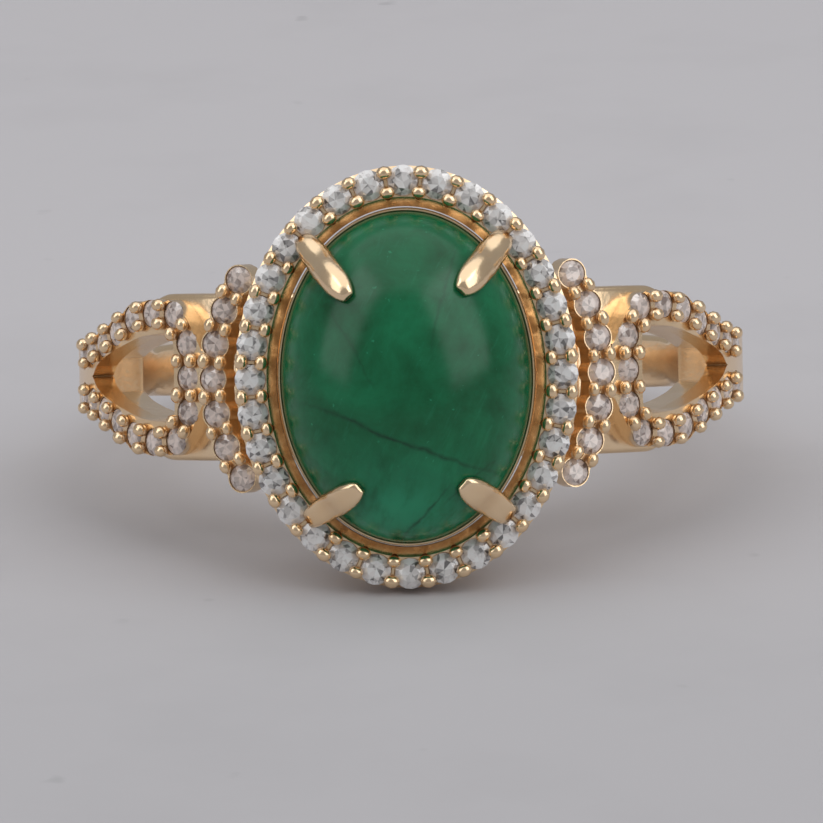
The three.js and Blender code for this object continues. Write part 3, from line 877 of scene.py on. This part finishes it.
# Half width and thickness of a claw: below 0 along its foot, from 0 to 1 along its tab.
CLAW_WIDTH = ((-1.0, 0.20), (-0.6, 0.20), (-0.34, 0.22), (-0.26, 0.29), (-0.16, 0.36), (0.0, 0.40),
              (0.30, 0.43), (0.62, 0.41), (0.82, 0.34), (0.93, 0.26), (1.0, 0.18))
CLAW_THICKNESS = ((-1.0, 0.20), (-0.3, 0.22), (0.0, 0.30), (0.5, 0.34), (0.8, 0.28), (0.95, 0.20),
                  (1.0, 0.12))
# The claw's foot: share of its length, way out from the stone's edge and height over the girdle.
CLAW_FOOT = ((-1.0, 0.20, -1.15), (-0.8, 0.21, -0.8), (-0.6, 0.30, -0.42), (-0.45, 0.52, -0.10),
             (-0.34, 0.66, 0.14), (-0.26, 0.66, 0.34), (-0.18, 0.55, 0.50), (-0.08, 0.34, 0.68),
             (0.04, 0.12, 0.88), (0.16, -0.10, 1.07))
# The tab lands on the dome this far past the stone's edge, and rides this far over it.
CLAW_LANDING = 0.42
CLAW_RIDE = 0.10
CLAW_STEPS = 16
CLAW_SPACING = 0.9
# The claw's section: how deep its underside is, and the fall and height of a filed back.
CLAW_BELLY = 0.45
FILED_FALL = 2.2
FILED_HEIGHT = 0.8


def claw_stations(head, row, position, heading, length):
    """Middle points and upward directions along a claw, up from its foot and over the dome."""
    a, b = head.stone_width / 2, head.stone_length / 2
    lower = int(position)
    spot = row[lower].at.lerp(row[lower + 1].at, position - lower)
    inward = Vector((-math.copysign(math.cos(math.radians(heading)), spot.x),
                     -math.copysign(math.sin(math.radians(heading)), spot.y), 0))
    # The claw's line through the gap between two stones meets the big stone's outline.
    square = (inward.x / a) ** 2 + (inward.y / b) ** 2
    linear = spot.x * inward.x / a ** 2 + spot.y * inward.y / b ** 2
    constant = (spot.x / a) ** 2 + (spot.y / b) ** 2 - 1
    gap = (-linear - math.sqrt(linear ** 2 - square * constant)) / square
    edge = Vector((spot.x + gap * inward.x, spot.y + gap * inward.y, head.girdle_height))
    reach = length - gap
    stations = []
    foot = [edge - out * inward + Vector((0, 0, z)) for _, out, z in CLAW_FOOT]
    for i, (share, _, _) in enumerate(CLAW_FOOT):
        ahead = foot[min(i + 1, len(foot) - 1)] - foot[max(i - 1, 0)]
        stations.append((foot[i], inward.cross(Vector((0, 0, 1))).cross(ahead).normalized(), share))
    for step in range(1, CLAW_STEPS + 1):
        share = (step / CLAW_STEPS) ** CLAW_SPACING
        along = reach * share
        if along < CLAW_LANDING:
            continue
        flat = edge + along * inward
        depth = max(0.0, 1 - (flat.x / a) ** 2 - (flat.y / b) ** 2)
        rise = math.sqrt(depth)
        normal = Vector((flat.x / a ** 2, flat.y / b ** 2, rise / head.stone_dome)).normalized()
        surface = Vector((flat.x, flat.y, head.girdle_height + head.stone_dome * rise))
        stations.append((surface + CLAW_RIDE * normal, normal, share))
    return stations, inward


def claw_body(head, row, position, heading, length, widen, filed):
    """A claw drawn through its sections, from the end of its foot to the tip of its tab."""
    stations, inward = claw_stations(head, row, position, heading, length)
    side = Vector((0, 0, 1)).cross(inward)
    bm = bmesh.new()
    rings = []
    for middle, up, share in stations:
        half = widen * smooth_value(CLAW_WIDTH, share)
        thick = smooth_value(CLAW_THICKNESS, share)
        rings.append(claw_section(bm, middle, up, side, half, thick, filed))
    for one, other in zip(rings, rings[1:]):
        bmesh.ops.bridge_loops(bm, edges=one + other)
    bmesh.ops.holes_fill(bm, edges=rings[0] + rings[-1], sides=32)
    return cleaned(bm)


def claw_section(bm, middle, up, side, half, thick, filed):
    """One rounded section of a claw, as its loop of edges."""
    made = bmesh.ops.create_circle(bm, cap_ends=False, segments=20, radius=1.0)["verts"]
    side = (side - up * side.dot(up)).normalized()
    for vertex in made:
        x, y = vertex.co.x, vertex.co.y
        height = y * thick * (1.0 if y > 0 else CLAW_BELLY)
        if y > 0 and filed < 1:
            height = thick * (1 - (1 - y) ** FILED_FALL) * FILED_HEIGHT
        vertex.co = middle + side * x * half + up * height
    return list({edge for vertex in made for edge in vertex.link_edges})


# ------------------------------------------------------------------ materials

def node_material(name):
    material = bpy.data.materials.new(name)
    material.use_nodes = True
    tree = material.node_tree
    tree.nodes.clear()
    output = tree.nodes.new("ShaderNodeOutputMaterial")
    shader = tree.nodes.new("ShaderNodeBsdfPrincipled")
    tree.links.new(shader.outputs["BSDF"], output.inputs["Surface"])
    return material, tree, shader


def ring_coordinates(tree):
    """Object coordinates turned into the ring frame, in millimetres."""
    source = tree.nodes.new("ShaderNodeTexCoord")
    mapping = tree.nodes.new("ShaderNodeMapping")
    mapping.vector_type = "POINT"
    mapping.inputs["Location"].default_value = TO_RING.translation
    mapping.inputs["Rotation"].default_value = RING_PLACE.inverted().to_euler("XYZ")
    mapping.inputs["Scale"].default_value = (1 / MM, 1 / MM, 1 / MM)
    tree.links.new(source.outputs["Object"], mapping.inputs["Vector"])
    return mapping.outputs["Vector"]


def noise(tree, vector, scale, detail=3.0, roughness=0.55, distortion=0.0):
    node = tree.nodes.new("ShaderNodeTexNoise")
    node.inputs["Scale"].default_value = scale
    node.inputs["Detail"].default_value = detail
    node.inputs["Roughness"].default_value = roughness
    node.inputs["Distortion"].default_value = distortion
    tree.links.new(vector, node.inputs["Vector"])
    return node.outputs["Fac"]


def ramp(tree, value, stops, interpolation="LINEAR"):
    node = tree.nodes.new("ShaderNodeValToRGB")
    node.color_ramp.interpolation = interpolation
    while len(node.color_ramp.elements) < len(stops):
        node.color_ramp.elements.new(0.5)
    for element, (position, shade) in zip(node.color_ramp.elements, stops):
        element.position = position
        element.color = (*shade, 1.0)
    tree.links.new(value, node.inputs["Fac"])
    return node.outputs["Color"]


def ramp_value(tree, value, low, high):
    """0 below low, 1 above high and a smooth rise between them."""
    node = tree.nodes.new("ShaderNodeMapRange")
    node.interpolation_type = "SMOOTHSTEP"
    node.inputs["From Min"].default_value = low
    node.inputs["From Max"].default_value = high
    tree.links.new(value, node.inputs["Value"])
    return node.outputs["Result"]


def maths(tree, operation, one, other=None, clamp=False):
    node = tree.nodes.new("ShaderNodeMath")
    node.operation = operation
    node.use_clamp = clamp
    for socket, value in zip(node.inputs, (one, other)):
        if value is None:
            continue
        if isinstance(value, (int, float)):
            socket.default_value = value
        else:
            tree.links.new(value, socket)
    return node.outputs["Value"]


def inverted(tree, value):
    return maths(tree, "SUBTRACT", 1.0, value)


def scaled(tree, value, factor, offset):
    """The value times the factor, plus the offset, which is a number or a socket."""
    result = maths(tree, "MULTIPLY_ADD", value, factor)
    if isinstance(offset, bpy.types.NodeSocket):
        tree.links.new(offset, result.node.inputs[2])
    else:
        result.node.inputs[2].default_value = offset
    return result


def separated(tree, vector):
    node = tree.nodes.new("ShaderNodeSeparateXYZ")
    tree.links.new(vector, node.inputs["Vector"])
    return node.outputs


def mixed(tree, factor, one, other):
    node = tree.nodes.new("ShaderNodeMix")
    node.data_type = "RGBA"
    sockets = {"factor": node.inputs[0], "one": node.inputs[6], "other": node.inputs[7]}
    for name, value in (("factor", factor), ("one", one), ("other", other)):
        if isinstance(value, bpy.types.NodeSocket):
            tree.links.new(value, sockets[name])
        elif name == "factor":
            sockets[name].default_value = value
        else:
            sockets[name].default_value = (*value, 1.0)
    return node.outputs[2]


def veiled(tree, shade, mask, strength, over):
    """The shade with a second one laid over it, where the mask is, at the given strength."""
    return mixed(tree, maths(tree, "MULTIPLY", mask, strength), shade, over)


def bump(tree, shader, height, strength, distance):
    node = tree.nodes.new("ShaderNodeBump")
    node.inputs["Strength"].default_value = strength
    node.inputs["Distance"].default_value = distance * MM
    tree.links.new(height, node.inputs["Height"])
    tree.links.new(node.outputs["Normal"], shader.inputs["Normal"])


# Polished metal's least and most roughness, what grime in corners adds, and the strength and reach of the
# corners' grime and painted shade.
GOLD_ROUGHNESS = (0.16, 0.26)
GRIME_ROUGHNESS = 0.40
GRIME_AND_SHADE_STRENGTH = 0.8
GRIME_AND_SHADE_REACH = 0.55


def gold_material(finish):
    """Polished yellow gold with faint polishing waves, fine wear, and brown grime with painted shade in deep
    corners.
    """
    material, tree, shader = node_material("polished_gold")
    place = ring_coordinates(tree)
    cloud = noise(tree, place, 0.9, 4.0)
    shade = ramp(tree, cloud, ((0.3, finish.gold_shade), (0.62, finish.gold)))
    shade = mixed(tree, 0.6, shade, finish.gold)
    # Painted shade: ambient occlusion darkens the colour to brown in deep corners, partly real grime and
    # partly the shade that falls there.
    hollow = tree.nodes.new("ShaderNodeAmbientOcclusion")
    hollow.samples = 6
    hollow.only_local = False
    hollow.inputs["Distance"].default_value = GRIME_AND_SHADE_REACH * MM
    grime_and_shade = inverted(tree, ramp_value(tree, hollow.outputs["AO"], 0.22, 0.66))
    patches = ramp_value(tree, noise(tree, place, 4.5, 3.0, 0.6), 0.25, 0.6)
    grime_and_shade = maths(tree, "MULTIPLY", grime_and_shade, patches)
    shade = veiled(tree, shade, grime_and_shade, GRIME_AND_SHADE_STRENGTH, finish.gold_grime_and_shade)
    tree.links.new(shade, shader.inputs["Base Color"])
    low, high = GOLD_ROUGHNESS
    wear = scaled(tree, noise(tree, place, 7.0, 5.0, 0.7), high - low, low)
    tree.links.new(scaled(tree, grime_and_shade, GRIME_ROUGHNESS, wear), shader.inputs["Roughness"])
    shader.inputs["Metallic"].default_value = 1.0
    bump(tree, shader, noise(tree, place, 3.2, 3.0), 0.18, 0.05)
    return material


def turned_coordinates(tree, vector, degrees, middle=(0, 0), stretch=(1.0, 1.0, 1.0)):
    """Coordinates moved to a middle point, turned in the stone's plane and stretched."""
    move = tree.nodes.new("ShaderNodeMapping")
    move.vector_type = "TEXTURE"
    move.inputs["Location"].default_value = (*middle, 0.0)
    move.inputs["Rotation"].default_value = (0.0, 0.0, math.radians(degrees))
    move.inputs["Scale"].default_value = stretch
    tree.links.new(vector, move.inputs["Vector"])
    return move.outputs["Vector"]


def fissure(tree, place, degrees, middle, half_length, width, wobble):
    """A mask that is 1 on a thin wandering line through the stone and 0 away from it."""
    parts = separated(tree, turned_coordinates(tree, place, degrees, middle))
    wander = scaled(tree, noise(tree, place, 0.7, 4.0), wobble, -wobble / 2)
    across = maths(tree, "ABSOLUTE", maths(tree, "ADD", parts["Y"], wander))
    line = maths(tree, "SUBTRACT", 1.0, maths(tree, "DIVIDE", across, width), clamp=True)
    along = maths(tree, "DIVIDE", maths(tree, "ABSOLUTE", parts["X"]), half_length)
    fade = maths(tree, "SUBTRACT", 1.0, maths(tree, "POWER", along, 3.0), clamp=True)
    broken = maths(tree, "MULTIPLY", noise(tree, place, 2.6, 3.0), 1.7, clamp=True)
    return maths(tree, "MULTIPLY", maths(tree, "MULTIPLY", line, fade), broken)


FISSURE_SHADE = (0.002, 0.018, 0.009)
# Fissures in the big stone: heading in degrees, then middle, half length, width and wander in mm,
# and strength.
FISSURES = (
    (-22, (-0.2, -1.9), 3.4, 0.10, 0.5, 0.75),
    (46, (0.5, -4.2), 1.3, 0.07, 0.5, 0.70),
    (38, (1.9, -3.3), 1.2, 0.06, 0.5, 0.45),
    (75, (1.2, 2.4), 1.9, 0.08, 0.6, 0.35),
    (-62, (-1.6, 1.0), 1.6, 0.07, 0.8, 0.30),
)


def emerald_material(finish):
    """Translucent green stone: cloudy colour, a glow painted towards its foot, pale veils and flecks, and
    dark fissures.
    """
    material, tree, shader = node_material("emerald_cabochon")
    place = ring_coordinates(tree)
    deep, light = tuple(finish.emerald_deep), tuple(finish.emerald_light)
    # The pale green of the veils and flecks, also used for the painted glow.
    pale_and_glow = (4.0 * light[0], 1.9 * light[1], 2.4 * light[2])
    cloud = noise(tree, place, 0.50, 5.0, 0.66, 0.25)
    body = ramp(tree, cloud, ((0.30, deep), (0.66, light)))
    # Painted glow: the stone is painted lighter towards its foot and in a patch there, for light shining
    # through it, broken up by a mottle.
    length = maths(tree, "ADD", separated(tree, place)["Y"], 1.6)
    foot = maths(tree, "MULTIPLY", length, -0.22, clamp=True)
    glow_mottle = noise(tree, turned_coordinates(tree, place, 72, stretch=(2.2, 0.6, 1.0)), 0.9, 5.0, 0.62)
    body = veiled(tree, body, foot, ramp_value(tree, glow_mottle, 0.34, 0.62), pale_and_glow)
    glow_place = turned_coordinates(tree, place, 15, (-0.5, -4.1), (1.9, 1.1, 30.0))
    reach = tree.nodes.new("ShaderNodeVectorMath")
    reach.operation = "LENGTH"
    tree.links.new(glow_place, reach.inputs[0])
    inside = inverted(tree, ramp_value(tree, reach.outputs["Value"], 0.35, 1.0))
    body = veiled(tree, body, inside, ramp_value(tree, glow_mottle, 0.12, 0.52), pale_and_glow)
    streaks = noise(tree, turned_coordinates(tree, place, 64, stretch=(3.2, 0.35, 1.0)), 1.6, 5.0, 0.7)
    body = veiled(tree, body, ramp_value(tree, streaks, 0.54, 0.78), 0.22, pale_and_glow)
    for *shape, strength in FISSURES:
        body = veiled(tree, body, fissure(tree, place, *shape), strength, FISSURE_SHADE)
    flecks = noise(tree, place, 5.5, 2.0, 0.5)
    body = veiled(tree, body, ramp_value(tree, flecks, 0.70, 0.78), 0.5, pale_and_glow)
    tree.links.new(body, shader.inputs["Base Color"])
    gloss = scaled(tree, noise(tree, place, 1.4, 4.0), 0.09, 0.16)
    tree.links.new(gloss, shader.inputs["Roughness"])
    shader.inputs["IOR"].default_value = 1.48
    shader.inputs["Specular IOR Level"].default_value = 0.38
    shader.inputs["Subsurface Weight"].default_value = 0.12
    shader.inputs["Subsurface Radius"].default_value = (0.2, 1.0, 0.5)
    shader.inputs["Subsurface Scale"].default_value = 1.2 * MM
    bump(tree, shader, noise(tree, place, 1.1, 3.0), 0.05, 0.05)
    return material


# How much of a small stone's painted sparkle each facet gives, and how much the cells across it.
FACET_SHARE = 0.55
CELL_SHARE = 0.45


def stone_material(name, tint, dark):
    """A clear cut stone with painted sparkle: each facet is painted light or dark for the light its back
    facets send back.
    """
    material, tree, shader = node_material(name)
    place = ring_coordinates(tree)
    glint = tree.nodes.new("ShaderNodeAttribute")
    glint.attribute_name = "glint"
    cells = tree.nodes.new("ShaderNodeTexVoronoi")
    cells.inputs["Scale"].default_value = 5.5
    tree.links.new(place, cells.inputs["Vector"])
    parts = tree.nodes.new("ShaderNodeSeparateColor")
    tree.links.new(cells.outputs["Color"], parts.inputs["Color"])
    painted_sparkle = maths(tree, "ADD", maths(tree, "MULTIPLY", glint.outputs["Fac"], FACET_SHARE),
                  maths(tree, "MULTIPLY", parts.outputs["Red"], CELL_SHARE))
    middle = tuple(0.62 * channel for channel in tint)
    bright = tuple(min(1.0, 1.22 * channel) for channel in tint)
    shade = ramp(tree, painted_sparkle, ((0.14, dark), (0.30, middle), (0.52, tint), (0.80, bright)))
    tree.links.new(shade, shader.inputs["Base Color"])
    shader.inputs["Roughness"].default_value = 0.06
    shader.inputs["IOR"].default_value = 2.0
    shader.inputs["Transmission Weight"].default_value = 0.15
    shader.inputs["Coat Weight"].default_value = 0.6
    shader.inputs["Coat Roughness"].default_value = 0.02
    return material


# The painted shade towards the floor's front, and the colour of its dust.
FLOOR_FRONT_SHADE = (0.30, 0.30, 0.31)
FLOOR_DUST = (0.20, 0.20, 0.21)


def floor_material(finish):
    """A matt pale board with very faint blotches, painted shade towards its front and a little dust."""
    material, tree, shader = node_material("pale_floor")
    place = tree.nodes.new("ShaderNodeTexCoord").outputs["Object"]
    blotch = noise(tree, place, 90.0, 4.0, 0.6)
    darker = tuple(0.965 * channel for channel in finish.floor)
    shade = ramp(tree, blotch, ((0.32, darker), (0.5, finish.floor)))
    # Painted shade: the floor darkens towards its front, where less light falls.
    front_shade = inverted(tree, ramp_value(tree, separated(tree, place)["Y"], -0.035, 0.03))
    shade = veiled(tree, shade, front_shade, 0.27, FLOOR_FRONT_SHADE)
    dust = noise(tree, place, 520.0, 2.0, 0.4)
    shade = veiled(tree, shade, ramp_value(tree, dust, 0.72, 0.80), 0.22, FLOOR_DUST)
    tree.links.new(shade, shader.inputs["Base Color"])
    shader.inputs["Roughness"].default_value = 0.9
    shader.inputs["Specular IOR Level"].default_value = 0.1
    return material


# The darkest painted sparkle shade of each kind of small stone.
BRILLIANT_DARK = (0.17, 0.16, 0.16)
CHAMPAGNE_DARK = (0.30, 0.22, 0.19)


def gold(context):
    return bpy.data.materials.get("polished_gold") or gold_material(settings(context.scene.ring_finish))


def brilliant(context):
    finish = settings(context.scene.ring_finish)
    return stone_material("brilliant_stone", tuple(finish.brilliant), BRILLIANT_DARK)


def champagne(context):
    """The lower stones' material, made by the first of the pieces that share it."""
    made = bpy.data.materials.get("champagne_stone")
    finish = settings(context.scene.ring_finish)
    return made or stone_material("champagne_stone", tuple(finish.champagne), CHAMPAGNE_DARK)


# ------------------------------------------------------------------ operators

class RING_OT_stage(bpy.types.Operator):
    """Add the camera, the lights and the pale floor"""
    bl_idname = "cocktail_ring.stage"
    bl_label = "Stage"

    # How the ring is turned in front of the camera in degrees, how far the camera is off its
    # middle in mm, and its distance and half its field's width in mm.
    VIEW_PITCH = 1.446
    VIEW_YAW = -0.697
    VIEW_ROLL = 1.053
    VIEW_OFFSET = (0.0146, -1.3811)
    DISTANCE = 400.0
    HALF_FIELD = 13.153
    SENSOR = 36.0
    LIT_POINT = Vector((0, 0, 0.008))
    WORLD_STRENGTH = 0.32

    def execute(self, context):
        scene = context.scene
        finish = settings(scene.ring_finish)
        scene.view_settings.view_transform = "Standard"
        turned = (Matrix.Rotation(math.radians(self.VIEW_ROLL), 4, "Z")
                  @ Matrix.Rotation(math.radians(self.VIEW_YAW), 4, "Y")
                  @ Matrix.Rotation(math.radians(self.VIEW_PITCH), 4, "X"))
        data = bpy.data.cameras.new("camera")
        data.sensor_width = self.SENSOR
        data.lens = self.SENSOR * self.DISTANCE / (2 * self.HALF_FIELD)
        data.clip_start = 0.02
        data.clip_end = 20.0
        camera = bpy.data.objects.new("camera", data)
        scene.collection.objects.link(camera)
        seen_from = turned.inverted() @ Matrix.Translation((*self.VIEW_OFFSET, self.DISTANCE))
        seen_from.translation *= MM
        camera.matrix_world = RING_PLACE @ seen_from
        scene.camera = camera
        self.add_floor(scene, finish)
        self.add_lights(scene)
        return {"FINISHED"}

    def add_floor(self, scene, finish):
        bm = bmesh.new()
        bmesh.ops.create_grid(bm, x_segments=4, y_segments=4, size=2.0)
        mesh = bpy.data.meshes.new("floor")
        bm.to_mesh(mesh)
        bm.free()
        mesh.materials.append(floor_material(finish))
        floor = bpy.data.objects.new("floor", mesh)
        scene.collection.objects.link(floor)

    def add_lights(self, scene):
        world = bpy.data.worlds.new("studio")
        world.use_nodes = True
        background = world.node_tree.nodes["Background"]
        background.inputs["Color"].default_value = (0.97, 0.98, 1.0, 1.0)
        background.inputs["Strength"].default_value = self.WORLD_STRENGTH
        scene.world = world
        # Each soft box: its name, place in metres, width, height and power in watts.
        boxes = (
            ("left_box", (-0.33, -0.15, 0.25), 0.26, 0.44, 0.42),
            ("right_box", (0.31, -0.19, 0.25), 0.34, 0.44, 0.66),
            ("top_box", (0.0, 0.02, 0.46), 0.80, 0.58, 1.14),
        )
        for name, place, width, height, power in boxes:
            data = bpy.data.lights.new(name, "AREA")
            data.shape = "RECTANGLE"
            data.size = width
            data.size_y = height
            data.energy = power
            lamp = bpy.data.objects.new(name, data)
            scene.collection.objects.link(lamp)
            lamp.location = place
            aim = self.LIT_POINT - Vector(place)
            lamp.rotation_euler = aim.to_track_quat("-Z", "Y").to_euler()


class RING_OT_shank(bpy.types.Operator):
    """Build the band with its arms, their openings and the light hole"""
    bl_idname = "cocktail_ring.shank"
    bl_label = "Shank"

    def execute(self, context):
        shank = settings(context.scene.ring_shank)
        loop = settings(context.scene.ring_loop)
        inner, outer = FINGER_RADIUS - 1, loop.top_radius + 1
        right, left = (opening_cutter(shank, loop, ARM_OPENING, inner, outer, shank.draft)
                       for _ in range(2))
        cutters = joined([right, half_turned(left), light_hole(shank)])
        body = carved(shank_body(shank), cutters)
        add_piece("band_and_arms", body, gold(context), ["shank"], shank.edge_round)
        return {"FINISHED"}


class RING_OT_loops(bpy.types.Operator):
    """Build the two teardrop loops with their stones and beads"""
    bl_idname = "cocktail_ring.loops"
    bl_label = "Teardrop loops"

    def execute(self, context):
        shank = settings(context.scene.ring_shank)
        loop = settings(context.scene.ring_loop)
        head = settings(context.scene.ring_head)
        upper = loop_arm_row(loop, shank)
        lower = flipped_row(upper, (1, -1, 1))
        stones = upper + lower[1:]
        draws = random.Random(5)
        for side in ("right", "left"):
            body = carved(loop_body(shank, loop, upper),
                          opening_cutter(shank, loop, OPENING, loop.base_radius - 1,
                                         loop.top_radius + 1))
            body = carved(body, seats(stones))
            beads = bmesh.new()
            for half in (upper, lower):
                bead_pairs(beads, half, LOOP_BEAD_SPREAD, head.bead, draws)
            row = stones
            if side == "left":
                body, beads = half_turned(body), half_turned(beads)
                row = flipped_row(stones, (-1, -1, 1))
            add_piece(f"loop_{side}", body, gold(context), [f"teardrop_loop_{side}"],
                      THIN_ROUNDING)
            add_piece(f"loop_beads_{side}", beads, gold(context))
            small_stones(f"loop_stones_{side}", row, champagne(context), [], 7)
        return {"FINISHED"}


class RING_OT_crescents(bpy.types.Operator):
    """Build the two crescents with their stones and beads"""
    bl_idname = "cocktail_ring.crescents"
    bl_label = "Crescents"

    def execute(self, context):
        head = settings(context.scene.ring_head)
        draws = random.Random(11)
        for side in ("right", "left"):
            names, row = crescent_row(side)
            body = carved(crescent_body(row, head), seats(row))
            add_piece(f"crescent_plate_{side}", body, gold(context), [f"crescent_{side}"],
                      THIN_ROUNDING)
            beads = bmesh.new()
            bead_pairs(beads, row, CRESCENT_BEAD_SPREAD, head.bead, draws)
            add_piece(f"crescent_beads_{side}", beads, gold(context))
            small_stones(f"crescent_stones_{side}", row, champagne(context), names, 13)
        return {"FINISHED"}


class RING_OT_halo(bpy.types.Operator):
    """Build the halo plate with its stones and beads"""
    bl_idname = "cocktail_ring.halo"
    bl_label = "Halo"

    def execute(self, context):
        head = settings(context.scene.ring_head)
        names, row = halo_row()
        body = carved(halo_body(head, row), seats(row))
        body = carved(body, notches(row))
        add_piece("halo", body, gold(context), ["halo_plate"], THIN_ROUNDING)
        beads = bmesh.new()
        draws = random.Random(17)
        bead_pairs(beads, row, HALO_BEAD_SPREAD, head.bead, draws, closed=True)
        add_piece("halo_beads", beads, gold(context))
        small_stones("halo_stones", row, brilliant(context), names, 19)
        return {"FINISHED"}


class RING_OT_seat(bpy.types.Operator):
    """Build the seat basket and the gallery rail under the big stone"""
    bl_idname = "cocktail_ring.seat"
    bl_label = "Seat and gallery"

    def execute(self, context):
        head = settings(context.scene.ring_head)
        ledge = head.girdle_height - head.stone_bevel - SOLDER_GAP
        basket = carved(basket_body(head, ledge), basket_windows(head, ledge))
        add_piece("stone_seat", basket, gold(context), ["seat_basket"], 0.015)
        gallery = carved(gallery_body(head), gallery_bore())
        add_piece("gallery", gallery, gold(context), ["gallery_rail"], 0.04)
        return {"FINISHED"}


class RING_OT_big_stone(bpy.types.Operator):
    """Build the oval cabochon"""
    bl_idname = "cocktail_ring.big_stone"
    bl_label = "Big stone"

    def execute(self, context):
        head = settings(context.scene.ring_head)
        finish = settings(context.scene.ring_finish)
        add_piece("emerald", cabochon_body(head), emerald_material(finish), ["cabochon"])
        return {"FINISHED"}


class RING_OT_claws(bpy.types.Operator):
    """Build the four claws bent over the big stone"""
    bl_idname = "cocktail_ring.claws"
    bl_label = "Claws"

    def execute(self, context):
        head = settings(context.scene.ring_head)
        _, row = halo_row()
        for name, *cut in CLAWS:
            body = claw_body(head, row, *cut)
            add_piece(name.replace("prong", "claw"), body, gold(context), [name])
        return {"FINISHED"}


class RING_PT_panel(bpy.types.Panel):
    """Lists the ring's pieces in the sidebar"""
    bl_idname = "RING_PT_panel"
    bl_label = "Cocktail Ring"
    bl_space_type = "VIEW_3D"
    bl_region_type = "UI"
    bl_category = "Cocktail Ring"

    def draw(self, context):
        for operator in OPERATORS:
            self.layout.operator(operator.bl_idname)
        for name in GROUPS:
            box = self.layout.box()
            group = getattr(context.scene, name)
            for prop in group.__annotations__:
                box.prop(group, prop)


OPERATORS = (RING_OT_stage, RING_OT_shank, RING_OT_loops, RING_OT_crescents, RING_OT_halo,
             RING_OT_seat, RING_OT_big_stone, RING_OT_claws)
GROUPS = {
    "ring_shank": RingShankSettings,
    "ring_loop": RingLoopSettings,
    "ring_head": RingHeadSettings,
    "ring_finish": RingFinishSettings,
}


def register():
    for group in GROUPS.values():
        bpy.utils.register_class(group)
    for name, group in GROUPS.items():
        setattr(bpy.types.Scene, name, bpy.props.PointerProperty(type=group))
    for operator in OPERATORS:
        bpy.utils.register_class(operator)
    bpy.utils.register_class(RING_PT_panel)


def unregister():
    bpy.utils.unregister_class(RING_PT_panel)
    for operator in reversed(OPERATORS):
        bpy.utils.unregister_class(operator)
    for name, group in reversed(GROUPS.items()):
        delattr(bpy.types.Scene, name)
        bpy.utils.unregister_class(group)


def main():
    register()
    for operator in OPERATORS:
        group, action = operator.bl_idname.split(".")
        getattr(getattr(bpy.ops, group), action)()


if __name__ == "__main__":
    main()
